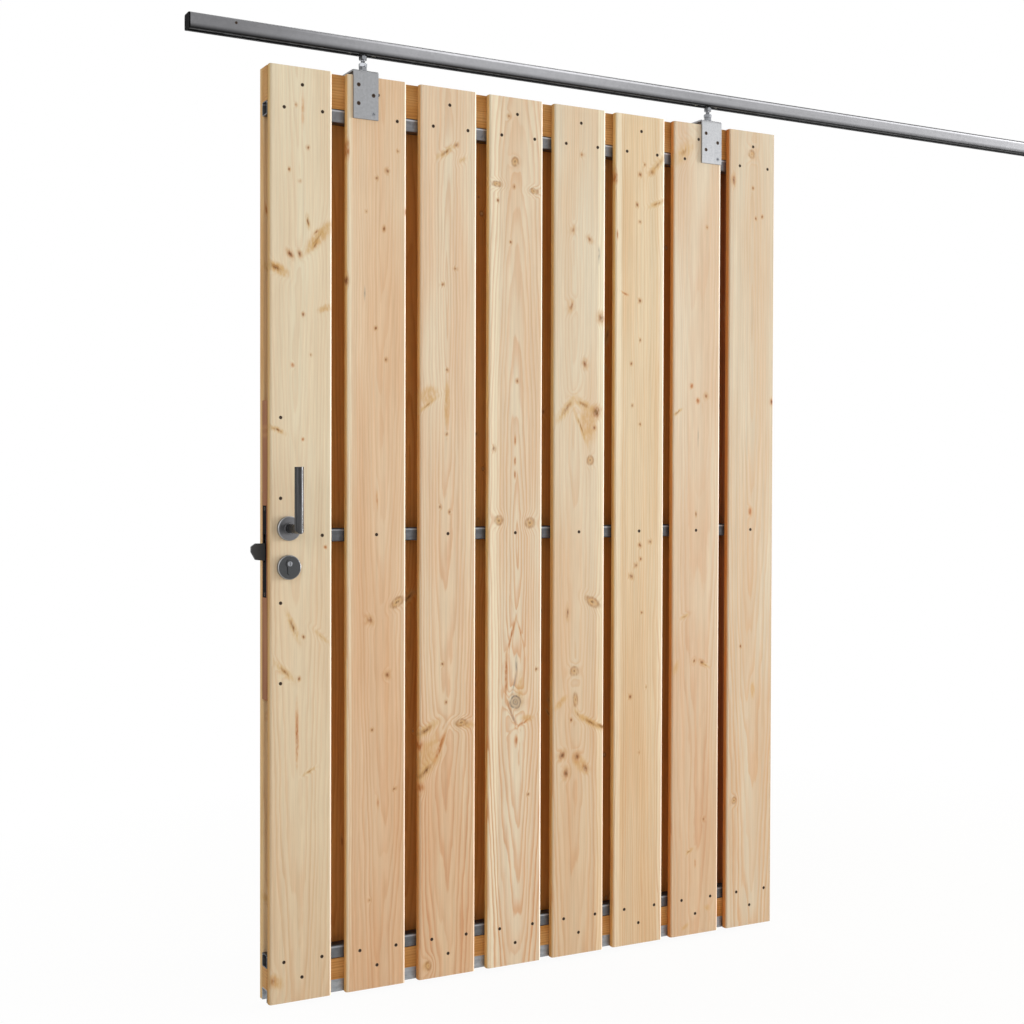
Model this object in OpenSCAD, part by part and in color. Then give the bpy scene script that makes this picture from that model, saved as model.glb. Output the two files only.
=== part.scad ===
// Sliding barn door on its track: a slotted rail, two trolleys and a double-sided board leaf.
// The origin is the middle of the rail's top face, +X runs along the rail and -Y is the front.

/* [Track] */
// Length of the rail
rail_len = 3000; // [2800:10:4000]
// Width of the rail
rail_w = 35; // [34:1:40]
// Height of the rail
rail_h = 34; // [33:1:40]
// Wall of the rail
rail_wall = 2.5; // [2:0.1:3]
// Outside corner radius of the rail
rail_corner = 5; // [4:0.5:6]
// Width of the slot along the underside
rail_slot = 12; // [11:0.5:13]
// Diameter of the fixing holes in the top of the rail
fixing_d = 9; // [6:0.5:11]
// Spacing of the fixing holes
fixing_pitch = 500; // [400:10:600]
// Length of rail that shows to the left of the leaf
rail_overrun = 176; // [150:1:300]
// Thickness of the end caps
cap_t = 2.5; // [2:0.5:5]
// Distance from a rail end to its stop's screw
stop_inset = 100; // [60:1:140]
// Length of a stop block
stop_len = 40; // [30:1:60]
// Height of a stop block
stop_h = 26; // [20:1:28]
// Thickness of a stop's rubber buffer
buffer_t = 8; // [4:1:15]

/* [Trolleys] */
// Diameter of a wheel
wheel_d = 25; // [20:0.5:26]
// Width of a wheel
wheel_w = 6; // [5:0.5:6.5]
// Distance between the two axles of a trolley
wheel_base = 60; // [58:1:80]
// Diameter of an axle
axle_d = 6; // [5:0.5:8]
// Height of a carriage
carriage_h = 16; // [12:0.5:18]
// Length of the boss that takes the hanger bolt
boss_len = 30; // [22:1:31]

/* [Leaf] */
// Height of the leaf
leaf_h = 2050; // [1800:10:2400]
// Number of front boards
board_count = 8; // [6:1:9]
// Width of a board
board_w = 145; // [120:1:160]
// Thickness of a board
board_t = 18; // [16:1:22]
// Rounding of the board edges
board_edge = 5; // [1:0.5:6]
// Gap between two front boards
board_gap = 31; // [20:1:40]
// Sideways creep of the boards in the middle of the leaf
board_drift = 10; // [0:1:12]
// Width of the narrow rear boards at both ends
rear_end_w = 72; // [68:1:76]
// Thickness of the layer between the boards, and size of the square tubes
core_t = 30; // [30:1:40]
// Wall of the square tubes
tube_wall = 2; // [1.5:0.5:3]
// Height of the lath above the top tube
top_lath_h = 76; // [72:1:90]
// Height of the lath under the bottom tube
bottom_lath_h = 47; // [40:1:60]
// Height of the guide channel at the bottom
channel_h = 28; // [20:1:35]
// Wall of the guide channel
channel_wall = 2; // [1.5:0.5:3]
// Middle tube's axis above the bottom of the leaf
mid_tube_z = 1026; // [1010:1:1040]

/* [Hangers] */
// Distance from the rail's underside to the top of a hanger
hanger_drop = 37; // [35:1:50]
// Height of a hanger's top above the leaf
hanger_rise = 13; // [10:0.5:15]
// Width of a hanger plate
plate_w = 60; // [50:1:64]
// Reach of a hanger plate below the top of the leaf
plate_reach = 96; // [94:1:110]
// Thickness of a hanger plate
plate_t = 4; // [3:0.5:4]
// Left hanger's middle from the left edge of the second board
hanger_left = 44; // [36:1:50]
// Right hanger's middle from the right edge of the last board but one
hanger_right = 32; // [32:1:40]
// Hanger bolts' axis behind the front face of the leaf
bolt_back = 15; // [14:0.5:20]
// Diameter of a hanger bolt
bolt_d = 10; // [8:0.5:11]
// Width across the flats of its nuts
nut_af = 17; // [15:0.5:19]
// Height of a nut
nut_h = 8.4; // [6:0.2:9]

/* [Lock] */
// Lever axis above the bottom of the leaf
lever_z = 1042; // [1030:1:1050]
// Lever axis from the left edge of the leaf
backset = 43; // [40:0.5:46]
// Distance from the lever axis down to the escutcheon's middle
key_drop = 85; // [80:1:90]
// Diameter of the roses and escutcheons
rose_d = 54; // [48:1:56]
// Thickness of the roses and escutcheons
rose_t = 9; // [7:0.5:11]
// Diameter of the lever bar
lever_d = 20; // [14:0.5:22]
// Distance from the leaf's face to the lever bar's axis
lever_reach = 65; // [45:1:70]
// Length of the lever above its axis
lever_len = 134; // [110:1:150]
// Height of the forend plate
forend_h = 202; // [196:1:220]
// Width of the forend plate
forend_w = 24; // [20:1:26]
// Thickness of the forend plate
forend_t = 3; // [2:0.5:3]
// Thickness of the hook
hook_t = 8; // [6:0.5:9]

/* [Hidden] */
$fn = 48;
cut = 1;             // overshoot of a cut past the face that it opens
play = 0.3;          // gap between moving pieces
turn_play = 0.05;    // radial clearance of a turning pin
seat_play = 0.1;     // radial clearance of a fixed fastener

// Rail
rail_in_h = rail_h - 2 * rail_wall;
rail_in_w = rail_w - 2 * rail_wall;
rail_flat = rail_w - 2 * rail_corner;
lip_z = rail_wall - rail_h;
cap_plug = 15;
cap_wall = 2;
stop_screw_d = 6;
stop_screw_inset = 4.5; // stop screw's axis below the top of its block
stop_screw_grip = 10;
stop_screw_z = lip_z + stop_h - stop_screw_inset;
stop_x = rail_len / 2 - stop_inset;
fixing_pairs = floor((stop_x - stop_len) / fixing_pitch + 0.5);

// Trolley
axle_z = lip_z + play + wheel_d / 2;
wheel_out = rail_flat / 2;
wheel_in = wheel_out - wheel_w;
cheek_gap = 1;
carriage_t = 2 * (wheel_in - cheek_gap);
nose = 3;            // reach of the carriage past its wheels
carriage_len = wheel_base + wheel_d + 2 * nose;
boss_w = bolt_d + 16;
rivet_d = axle_d + 3.5;
rivet_t = 1.3;

// Leaf
leaf_w = board_count * board_w + (board_count - 1) * board_gap;
leaf_t = 2 * board_t + core_t;
leaf_x = rail_overrun - rail_len / 2;
leaf_top = -(rail_h + hanger_drop + hanger_rise);
leaf_bottom = leaf_top - leaf_h;
rear_count = board_count + 1;
top_tube_z = leaf_h - top_lath_h - core_t / 2;
bottom_tube_z = channel_h + bottom_lath_h + core_t / 2;
top_lath_z = leaf_h - top_lath_h / 2;
bottom_lath_z = channel_h + bottom_lath_h / 2;
tube_corner = 3;

// Wood screws
screw_head_d = 8;
screw_head_h = 3.5;
screw_d = 4.5;
screw_bite = 12;     // reach of a screw past its board
screw_left = 33;
screw_right = 23;
screw_mid = 75;

// Hangers
hanger_x = [front_x(1) + hanger_left, front_x(board_count - 2) + board_w - hanger_right];
bend = 6;            // outside radius of the hanger's bend
plate_screw_head_d = 9;
plate_screw_head_h = 3;
plate_screw_d = 6;
plate_screw_inset = 12;
plate_screw_top = 21;
plate_screw_step = 20.7;
flange_z = leaf_h + hanger_rise;
washer_d = 24;
washer_t = 2;
thin_nut_h = 4.5;
nut_gap = 0.1;
collar_h = 9;
collar_gap = 2;      // gap from the rail's underside to the bolt's collar
rail_z = flange_z + hanger_drop;

// Lock
lock_y = leaf_t / 2;
block_w = rear_x(1); // as far as the second rear board
block_h = 657;
block_z = lever_z - 377;
block_screw_x = 25;
block_screw_insets = [38, 214];
rose_rim = rose_t / 3;
rose_collar_d = lever_d + 6; // step round the lever's neck
rose_collar_t = 2.5;
rose_collar_rim = 1;
escutcheon_z = lever_z - key_drop;
key_z = escutcheon_z + 8;
forend_z = lever_z - 51 - forend_h / 2;
forend_screw_d = 4.5;
forend_screw_head_d = 8;
forend_screw_len = 26;
forend_screw_inset = 7;
case_depth = backset + 34;
case_wall = 1.5;
case_t = hook_t + 4 + 2 * case_wall;
case_end = 16;       // forend length past the case at both ends
case_h = forend_h - 2 * case_end;
case_z = forend_z + case_end;
pivot_x = 13;
pivot_z = lever_z - 67;
pivot_d = 8;
hub_r = 10;
claw = [[-44, 27], [-44, 15], [-34, -2], [-13, -4], [0, -hub_r], [8, 6], [-13, 34], [-34, 34]];
hook_slot_low = 8;   // slot reach below the hook's pivot
hook_slot_high = 54; // slot reach above the hook's pivot
hook_slot_w = hook_t + 2;
follower_d = 20;
follower_flange_d = 26;
follower_flange_t = 9;
spindle = 8;
spindle_reach = 30;  // spindle length inside each lever
spindle_len = leaf_t + 2 * spindle_reach;
spindle_hole_d = 16;
profile_d = 17;
profile_web = 10;
profile_h = 33;
cylinder_proud = 2;  // cylinder reach past the escutcheon
cylinder_len = leaf_t + 2 * (rose_t + cylinder_proud);
plug_d = 10.9;
cam_t = 9;
cam_r = 15;
cam_gap = 0.5;
keyway_w = 1.6;
keyway_h = 8;
keyway_depth = 6;

function front_x(i) = i * (board_w + board_gap) + board_drift * sin(180 * i / (board_count - 1));
function gap_mid(i) = (front_x(i) + board_w + front_x(i + 1)) / 2;
function rear_is_end(j) = j == 0 || j == rear_count - 1;
function rear_w(j) = rear_is_end(j) ? rear_end_w : board_w;
function rear_x(j) = j == 0 ? 0 : j == rear_count - 1 ? leaf_w - rear_end_w : gap_mid(j - 1) - board_w / 2;

// Screw places as [x, z] on a board face, x from the left edge of the leaf
function row(x, zs) = [for (z = zs) [x, z]];
block_screws = row(block_screw_x,
    [for (inset = block_screw_insets) each [block_z + inset, block_z + block_h - inset]]);
function wide_screws(x) = concat(
    row(x + screw_left, [top_tube_z, bottom_tube_z]),
    row(x + board_w - screw_right, [top_tube_z, bottom_tube_z]),
    row(x + screw_mid, [top_lath_z, bottom_lath_z]));
function end_screws(x) = row(x + rear_end_w / 2, [top_lath_z, top_tube_z, bottom_tube_z, bottom_lath_z]);
function middle_screw(x, w, first) = first ? block_screws : [[x + w / 2, mid_tube_z]];
function front_places(i) = concat(
    wide_screws(front_x(i)),
    i == 0 ? [[board_w - screw_right, mid_tube_z]] : [],
    middle_screw(front_x(i), board_w, i == 0));
function rear_places(j) = concat(
    rear_is_end(j) ? end_screws(rear_x(j)) : wide_screws(rear_x(j)),
    middle_screw(rear_x(j), rear_w(j), j == 0));
all_front = [for (i = [0 : board_count - 1]) each front_places(i)];
all_rear = [for (j = [0 : rear_count - 1]) each rear_places(j)];
function zigzag(k) = (k % 2 == 0 ? -1 : 1) * (plate_w / 2 - plate_screw_inset);
plate_places = [for (x = hanger_x, k = [0 : 3])
    [x + zigzag(k), leaf_h - plate_screw_top - k * plate_screw_step]];
function between(places, low, high) = [for (p = places) if (p[1] > low && p[1] < high) p];

// Shapes that repeat

module in_leaf() {
    translate([leaf_x, -bolt_back, leaf_bottom]) children();
}

// A profile drawn in Y and Z, extruded along +X
module along_x(len) {
    rotate([90, 0, 90]) linear_extrude(len) children();
}

// A profile drawn in X and Z, extruded along +Y
module along_y(len) {
    translate([0, len, 0]) rotate([90, 0, 0]) linear_extrude(len) children();
}

// A round bar from the XZ plane towards +Y
module bar_y(d, len) {
    rotate([-90, 0, 0]) cylinder(d = d, h = len);
}

module rounded(w, h, r) {
    translate([r, 0]) square([w - 2 * r, h]);
    translate([0, r]) square([w, h - 2 * r]);
    for (x = [r, w - r], y = [r, h - r]) translate([x, y]) circle(r);
}

// A countersunk screw along +Y, its head flush with the XZ plane
module screw_body(head_d, head_h, d, len) {
    rotate([-90, 0, 0]) rotate_extrude()
        polygon([[0, 0], [head_d / 2, 0], [d / 2, head_h], [d / 2, len - d], [0, len]]);
}

module screw_hole(head_d, head_h, d, len) {
    wide = head_d / 2 + seat_play;
    slim = d / 2 + seat_play;
    rotate([-90, 0, 0]) rotate_extrude()
        polygon([[0, -cut], [wide, -cut], [wide, 0], [slim, head_h], [slim, len + cut], [0, len + cut]]);
}

module at_places(places) {
    for (p = places) translate([p[0], 0, p[1]]) children();
}

// The same from the rear face of the leaf
module at_rear_places(places) {
    for (p = places) translate([p[0], leaf_t, p[1]]) mirror([0, 1, 0]) children();
}

module wood_screw() {
    screw_body(screw_head_d, screw_head_h, screw_d, board_t + screw_bite);
}

module wood_screw_hole() {
    screw_hole(screw_head_d, screw_head_h, screw_d, board_t + screw_bite);
}

module plate_screw_hole() {
    translate([0, -plate_t, 0])
        screw_hole(plate_screw_head_d, plate_screw_head_h, plate_screw_d, plate_t + board_t + screw_bite);
}

// All screws that reach the middle layer between two heights
module core_holes(low, high) {
    at_places(between(all_front, low, high)) wood_screw_hole();
    at_rear_places(between(all_rear, low, high)) wood_screw_hole();
    at_places(between(plate_places, low, high)) plate_screw_hole();
}

module board(w) {
    linear_extrude(leaf_h) rounded(w, board_t, board_edge);
}

module cylinder_profile(grow) {
    circle(d = profile_d + 2 * grow);
    foot = profile_h - profile_d / 2 - profile_web / 2;
    translate([-profile_web / 2 - grow, -foot]) square([profile_web + 2 * grow, foot]);
    translate([0, -foot]) circle(d = profile_web + 2 * grow);
}

// Openings for the lever spindle and the key cylinder, through the whole leaf
module lock_openings(grow) {
    translate([backset, -cut, lever_z]) bar_y(spindle_hole_d, leaf_t + 2 * cut);
    translate([backset, -cut, key_z]) along_y(leaf_t + 2 * cut) cylinder_profile(grow);
}

// Track

module rail_outline() {
    translate([-rail_w / 2, -rail_h]) rounded(rail_w, rail_h, rail_corner);
}

module rail_hollow(gap) {
    translate([-rail_in_w / 2 + gap, lip_z + gap])
        rounded(rail_in_w - 2 * gap, rail_in_h - 2 * gap, rail_corner - rail_wall);
}

module rail() {
    color("#8d9398") difference() {
        translate([-rail_len / 2, 0, 0]) along_x(rail_len) difference() {
            rail_outline();
            rail_hollow(0);
            translate([-rail_slot / 2, -rail_h - cut]) square([rail_slot, rail_wall + 2 * cut]);
        }
        for (k = [1 : fixing_pairs], side = [-1, 1])
            translate([side * (k - 0.5) * fixing_pitch, 0, -rail_wall - cut])
                cylinder(d = fixing_d, h = rail_wall + 2 * cut);
        for (side = [-1, 1]) translate([side * stop_x, -rail_w / 2 - cut, stop_screw_z])
            bar_y(stop_screw_d + 2 * seat_play, rail_wall + 2 * cut);
    }
}

module end_cap() {
    along_x(cap_t) rail_outline();
    translate([cap_t, 0, 0]) along_x(cap_plug) difference() {
        rail_hollow(seat_play);
        rail_hollow(cap_wall);
    }
}

module end_caps() {
    color("#202224") for (side = [0, 1])
        mirror([side, 0, 0]) translate([-rail_len / 2 - cap_t, 0, 0]) end_cap();
}

module stop_blocks() {
    color("#6f757a") for (side = [-1, 1]) translate([side * stop_x, 0, 0]) difference() {
        translate([-stop_len / 2, -rail_flat / 2, lip_z]) cube([stop_len, rail_flat, stop_h]);
        translate([0, -rail_flat / 2 - cut, stop_screw_z])
            bar_y(stop_screw_d + 2 * seat_play, stop_screw_grip + 2 * cut);
    }
}

module stop_buffers() {
    color("#1c1c1d") for (side = [0, 1]) mirror([side, 0, 0])
        translate([stop_len / 2 - stop_x, -rail_flat / 3, axle_z - carriage_h / 2])
            along_x(buffer_t) rounded(rail_flat * 2 / 3, carriage_h, buffer_t / 4);
}

// Set screws, flush with the rail's front
module stop_screws() {
    reach = rail_w / 2 - rail_flat / 2 + stop_screw_grip;
    color("#2a2b2d") for (side = [-1, 1]) translate([side * stop_x, -rail_w / 2, stop_screw_z])
        bar_y(stop_screw_d, reach);
}

// Trolleys

module carriage() {
    color("#777d82") difference() {
        union() {
            translate([-carriage_len / 2, carriage_t / -2, axle_z - carriage_h / 2])
                along_y(carriage_t) rounded(carriage_len, carriage_h, carriage_h / 4);
            translate([-boss_len / 2, -boss_w / 2, axle_z - carriage_h / 2])
                cube([boss_len, boss_w, carriage_h]);
        }
        translate([0, 0, lip_z]) cylinder(d = bolt_d + 2 * seat_play, h = rail_in_h);
        for (side = [-1, 1]) translate([side * wheel_base / 2, -boss_w / 2, axle_z])
            bar_y(axle_d + 2 * seat_play, boss_w);
    }
}

module axle() {
    half = wheel_out + play + rivet_t;
    translate([0, -half, 0]) bar_y(axle_d, 2 * half);
    for (side = [0, 1]) mirror([0, side, 0]) {
        translate([0, wheel_out + play, 0]) bar_y(rivet_d, rivet_t);
        translate([0, carriage_t / 2, 0]) bar_y(rivet_d, cheek_gap - play);
    }
}

// A crowned wheel with a recess round its hub, turning on +Y
module wheel() {
    crown = 1;
    recess = 1.5;
    rim_r = wheel_d / 2;
    recess_r = rim_r - 3;
    hub = rivet_d / 2 + 1;
    rotate([-90, 0, 0]) difference() {
        rotate_extrude() polygon([[0, 0], [rim_r - crown, 0], [rim_r, crown],
            [rim_r, wheel_w - crown], [rim_r - crown, wheel_w], [0, wheel_w]]);
        translate([0, 0, -cut]) cylinder(d = axle_d + 2 * turn_play, h = wheel_w + 2 * cut);
        translate([0, 0, wheel_w - recess]) difference() {
            cylinder(r = recess_r, h = recess + cut);
            cylinder(r = hub, h = recess + cut);
        }
    }
}

module wheel_pair() {
    color("#3a3d40") for (side = [0, 1]) mirror([0, side, 0]) translate([0, wheel_in, 0]) wheel();
}

// A trolley stands over hanger 0 or 1; side is -1 for its left axle and 1 for its right one
module at_trolley(k) {
    translate([leaf_x + hanger_x[k], 0, 0]) children();
}

module at_axle(k, side) {
    at_trolley(k) translate([side * wheel_base / 2, 0, axle_z]) children();
}

module axles() {
    color("#9a9fa3") for (k = [0, 1], side = [-1, 1]) at_axle(k, side) axle();
}

// Hangers

module hanger_bracket(k) {
    x = hanger_x[k];
    color("#b4b7b9") in_leaf() difference() {
        translate([x - plate_w / 2, 0, 0]) along_x(plate_w) {
            translate([-plate_t, leaf_h - plate_reach]) square([plate_t, plate_reach + hanger_rise - bend]);
            translate([bend - plate_t, flange_z - plate_t]) square([leaf_t - bend + plate_t, plate_t]);
            intersection() {
                translate([bend - plate_t, flange_z - bend]) difference() {
                    circle(bend);
                    circle(bend - plate_t);
                }
                translate([-plate_t, flange_z - bend]) square(bend);
            }
        }
        at_places(plate_places) plate_screw_hole();
        translate([x, bolt_back, leaf_h]) cylinder(d = bolt_d + 2 * seat_play, h = hanger_rise + cut);
    }
}

module hanger_screws() {
    color("#2b2c2e") in_leaf() at_places(plate_places) translate([0, -plate_t, 0])
        screw_body(plate_screw_head_d, plate_screw_head_h, plate_screw_d, plate_t + board_t + screw_bite);
}

module hexagon(h) {
    cylinder(d = nut_af / cos(30), h = h, $fn = 6);
}

module at_bolt(k) {
    in_leaf() translate([hanger_x[k], bolt_back, 0]) children();
}

// Threaded bar with a hexagon collar under the rail, from under the flange up into the carriage
module hanger_bolts() {
    low = flange_z - plate_t - thin_nut_h;
    high = rail_z + rail_h + axle_z + carriage_h / 2;
    color("#8f9498") for (k = [0, 1]) at_bolt(k) {
        translate([0, 0, low]) cylinder(d = bolt_d, h = high - low);
        translate([0, 0, rail_z - collar_gap - collar_h]) hexagon(collar_h);
    }
}

module nut(h) {
    difference() {
        hexagon(h);
        translate([0, 0, -cut]) cylinder(d = bolt_d + 2 * seat_play, h = h + 2 * cut);
    }
}

module hanger_nuts() {
    stack = flange_z + washer_t;
    color("#9ba0a4") for (k = [0, 1]) at_bolt(k) {
        translate([0, 0, stack]) nut(nut_h);
        translate([0, 0, stack + nut_h + nut_gap]) rotate(25) nut(nut_h);
        translate([0, 0, flange_z - plate_t - thin_nut_h]) nut(thin_nut_h);
    }
}

module hanger_washers() {
    color("#a8acaf") for (k = [0, 1]) at_bolt(k) translate([0, 0, flange_z]) difference() {
        cylinder(d = washer_d, h = washer_t);
        translate([0, 0, -cut]) cylinder(d = bolt_d + 2 * seat_play, h = washer_t + 2 * cut);
    }
}

// Leaf

module front_board(i) {
    color("#dcc09a") in_leaf() difference() {
        translate([front_x(i), 0, 0]) board(board_w);
        at_places(front_places(i)) wood_screw_hole();
        at_places(plate_places) plate_screw_hole();
        if (i == 0) lock_openings(cut);
    }
}

module rear_board(j) {
    color("#b98450") in_leaf() difference() {
        translate([rear_x(j), board_t + core_t, 0]) board(rear_w(j));
        at_rear_places(rear_places(j)) wood_screw_hole();
        if (j == 0) lock_openings(cut);
    }
}

module square_tube(x, z) {
    color("#8a9096") in_leaf() difference() {
        translate([x, board_t, z - core_t / 2]) along_x(leaf_w - x) difference() {
            rounded(core_t, core_t, tube_corner);
            translate([tube_wall, tube_wall])
                rounded(core_t - 2 * tube_wall, core_t - 2 * tube_wall, tube_corner - tube_wall);
        }
        core_holes(z - core_t / 2, z + core_t / 2);
    }
}

module top_tube() {
    square_tube(0, top_tube_z);
}

module middle_tube() {
    square_tube(block_w, mid_tube_z);
}

module bottom_tube() {
    square_tube(0, bottom_tube_z);
}

module lath(z, h) {
    color("#b5793e") in_leaf() difference() {
        translate([0, board_t, z]) cube([leaf_w, core_t, h]);
        core_holes(z, z + h);
    }
}

module top_lath() {
    lath(leaf_h - top_lath_h, top_lath_h);
}

module bottom_lath() {
    lath(channel_h, bottom_lath_h);
}

module guide_channel() {
    color("#7e848a") in_leaf() translate([0, board_t, 0]) along_x(leaf_w) difference() {
        square([core_t, channel_h]);
        translate([channel_wall, -cut]) square([core_t - 2 * channel_wall, channel_h - channel_wall + cut]);
    }
}

module front_screws() {
    color("#3a2f28") in_leaf() at_places(all_front) wood_screw();
}

module rear_screws() {
    color("#3a2f28") in_leaf() at_rear_places(all_rear) wood_screw();
}

// Lock

module lock_block() {
    pocket = case_t + 2 * play;
    color("#a06a3a") in_leaf() difference() {
        translate([0, board_t, block_z]) cube([block_w, core_t, block_h]);
        translate([-cut, lock_y - forend_w / 2, forend_z]) cube([forend_t + cut, forend_w, forend_h]);
        translate([-cut, lock_y - pocket / 2, case_z - play])
            cube([forend_t + case_depth + play + cut, pocket, case_h + 2 * play]);
        translate([backset, 0, lever_z]) bar_y(follower_flange_d, leaf_t);
        lock_openings(cut);
        at_places(block_screws) wood_screw_hole();
        at_rear_places(block_screws) wood_screw_hole();
        at_forend_screws()
            screw_hole(forend_screw_head_d, screw_head_h, forend_screw_d, forend_screw_len);
    }
}

module at_forend_screws() {
    for (z = [forend_screw_inset, forend_h - forend_screw_inset])
        translate([0, lock_y, forend_z + z]) rotate(-90) children();
}

module forend() {
    color("#26262a") in_leaf() difference() {
        translate([0, lock_y - forend_w / 2, forend_z]) cube([forend_t, forend_w, forend_h]);
        translate([-cut, 0, 0]) hook_slot(forend_t + 2 * cut);
        at_forend_screws()
            screw_hole(forend_screw_head_d, screw_head_h, forend_screw_d, forend_screw_len);
    }
}

module hook_slot(len) {
    translate([0, lock_y - hook_slot_w / 2, pivot_z - hook_slot_low])
        cube([len, hook_slot_w, hook_slot_low + hook_slot_high]);
}

module forend_screws() {
    color("#55585c") in_leaf() at_forend_screws()
        screw_body(forend_screw_head_d, screw_head_h, forend_screw_d, forend_screw_len);
}

// Bearing, pin and cylinder openings through both side walls of the case
module case_openings() {
    front = lock_y - case_t / 2 - cut;
    len = case_t + 2 * cut;
    translate([backset, front, lever_z]) bar_y(follower_d + 2 * turn_play, len);
    translate([pivot_x, front, pivot_z]) bar_y(pivot_d + 2 * seat_play, len);
    translate([backset, front, key_z]) along_y(len) cylinder_profile(play);
}

module lock_case() {
    inner = case_t - 2 * case_wall;
    color("#5c6166") in_leaf() difference() {
        translate([forend_t, lock_y - case_t / 2, case_z]) cube([case_depth, case_t - case_wall, case_h]);
        translate([forend_t + case_wall, lock_y - inner / 2, case_z + case_wall])
            cube([case_depth - 2 * case_wall, inner + cut, case_h - 2 * case_wall]);
        translate([forend_t - cut, 0, 0]) hook_slot(case_wall + 2 * cut);
        case_openings();
    }
}

module lock_cover() {
    color("#686d72") in_leaf() difference() {
        translate([forend_t, lock_y + case_t / 2 - case_wall, case_z])
            cube([case_depth, case_wall, case_h]);
        case_openings();
    }
}

// The swinging claw: its blunt nose stands out of the forend, its round hub turns on the pin
module hook() {
    color("#2c2c2e") in_leaf() translate([pivot_x, lock_y - hook_t / 2, pivot_z]) along_y(hook_t)
        difference() {
            union() {
                circle(hub_r);
                polygon(claw);
            }
            circle(d = pivot_d + 2 * turn_play);
        }
}

module hook_pin() {
    color("#8a8e92") in_leaf() translate([pivot_x, lock_y - case_t / 2, pivot_z]) bar_y(pivot_d, case_t);
}

module follower() {
    color("#a58f5a") in_leaf() translate([backset, lock_y, lever_z]) difference() {
        union() {
            translate([0, -case_t / 2, 0]) bar_y(follower_d, case_t);
            translate([0, -follower_flange_t / 2, 0]) bar_y(follower_flange_d, follower_flange_t);
        }
        spindle_bar(spindle + 2 * seat_play, case_t + 2 * cut);
    }
}

module spindle_bar(side, len) {
    translate([-side / 2, -len / 2, -side / 2]) cube([side, len, side]);
}

module spindle() {
    color("#777b80") in_leaf() translate([backset, lock_y, lever_z]) spindle_bar(spindle, spindle_len);
}

// A mitred bar: the neck comes out of the rose along -Y and the grip stands up from it
module lever() {
    difference() {
        union() {
            translate([0, -lever_reach, 0]) bar_y(lever_d, lever_reach - cut);
            translate([0, -lever_reach, 0]) cylinder(d = lever_d, h = lever_len);
            intersection() {
                translate([0, -lever_reach - lever_d, 0]) bar_y(lever_d, 2 * lever_d);
                translate([0, -lever_reach, -lever_d]) cylinder(d = lever_d, h = 2 * lever_d);
            }
        }
        translate([0, lock_y, 0]) spindle_bar(spindle + 2 * seat_play, spindle_len + 2 * seat_play);
    }
}

// What is fitted alike on the front and on the rear face of the leaf
module on_face(rear) {
    in_leaf() translate([0, lock_y, 0]) mirror([0, rear ? 1 : 0, 0]) translate([0, -lock_y, 0]) children();
}

module front_lever() {
    color("#4d5056") on_face(false) translate([backset, 0, lever_z]) lever();
}

module rear_lever() {
    color("#4d5056") on_face(true) translate([backset, 0, lever_z]) lever();
}

// A round plate with a rounded rim, standing out along -Y
module rose_disc(d, t, rim) {
    rotate([90, 0, 0]) rotate_extrude() {
        square([d / 2 - rim, t]);
        square([d / 2, t - rim]);
        translate([d / 2 - rim, t - rim]) circle(rim);
    }
}

module roses() {
    color("#5a5e64") for (rear = [false, true]) on_face(rear) translate([backset, 0, lever_z])
        difference() {
            union() {
                rose_disc(rose_d, rose_t, rose_rim);
                rose_disc(rose_collar_d, rose_t + rose_collar_t, rose_collar_rim);
            }
            translate([0, -rose_t - rose_collar_t - cut, 0])
                bar_y(lever_d + 2 * play, rose_t + rose_collar_t + 2 * cut);
        }
}

module escutcheons() {
    color("#5a5e64") for (rear = [false, true]) on_face(rear) difference() {
        translate([backset, 0, escutcheon_z]) rose_disc(rose_d, rose_t, rose_rim);
        translate([backset, -rose_t - cut, key_z]) along_y(rose_t + 2 * cut) cylinder_profile(play);
    }
}

module at_key() {
    in_leaf() translate([backset, lock_y, key_z]) children();
}

module key_cylinder() {
    gap = cam_t + 2 * cam_gap;
    color("#7d8085") at_key() difference() {
        translate([0, -cylinder_len / 2, 0]) along_y(cylinder_len) cylinder_profile(0);
        translate([0, -cylinder_len / 2 - cut, 0]) bar_y(plug_d + 2 * turn_play, cylinder_len + 2 * cut);
        translate([-profile_d, -gap / 2, -cam_r - cut]) cube([2 * profile_d, gap, 2 * (cam_r + cut)]);
    }
}

module key_plug() {
    color("#a08a58") at_key() difference() {
        translate([0, -cylinder_len / 2, 0]) bar_y(plug_d, cylinder_len);
        for (side = [-1, 1]) translate([0, side * cylinder_len / 2, 0])
            cube([keyway_w, 2 * keyway_depth, keyway_h], center = true);
    }
}

module lock_cam() {
    hub = profile_d - 2;
    color("#6b6f74") at_key() translate([0, -cam_t / 2, 0]) along_y(cam_t) difference() {
        union() {
            circle(d = hub);
            intersection() {
                circle(cam_r);
                translate([-hub / 4, -cam_r]) square([hub / 2, cam_r]);
            }
        }
        circle(d = plug_d + 2 * turn_play);
    }
}

rail();
end_caps();
stop_blocks();
stop_buffers();
stop_screws();
for (i = [1 : board_count])
    front_board(i - 1);
for (j = [1 : rear_count])
    rear_board(j - 1);
top_tube();
middle_tube();
bottom_tube();
top_lath();
bottom_lath();
lock_block();
guide_channel();
front_screws();
rear_screws();
hanger_bracket(0);  // hanger_left_bracket
hanger_bracket(1);  // hanger_right_bracket
hanger_screws();
hanger_bolts();
hanger_nuts();
hanger_washers();
at_trolley(0) carriage();  // carriage_left
at_trolley(1) carriage();  // carriage_right
axles();
at_axle(0, -1) wheel_pair();  // wheels_left_outer
at_axle(0, 1) wheel_pair();  // wheels_left_inner
at_axle(1, -1) wheel_pair();  // wheels_right_inner
at_axle(1, 1) wheel_pair();  // wheels_right_outer
lock_case();
lock_cover();
forend();
forend_screws();
hook();
hook_pin();
follower();
spindle();
front_lever();
rear_lever();
roses();
escutcheons();
key_cylinder();
key_plug();
lock_cam();
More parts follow.
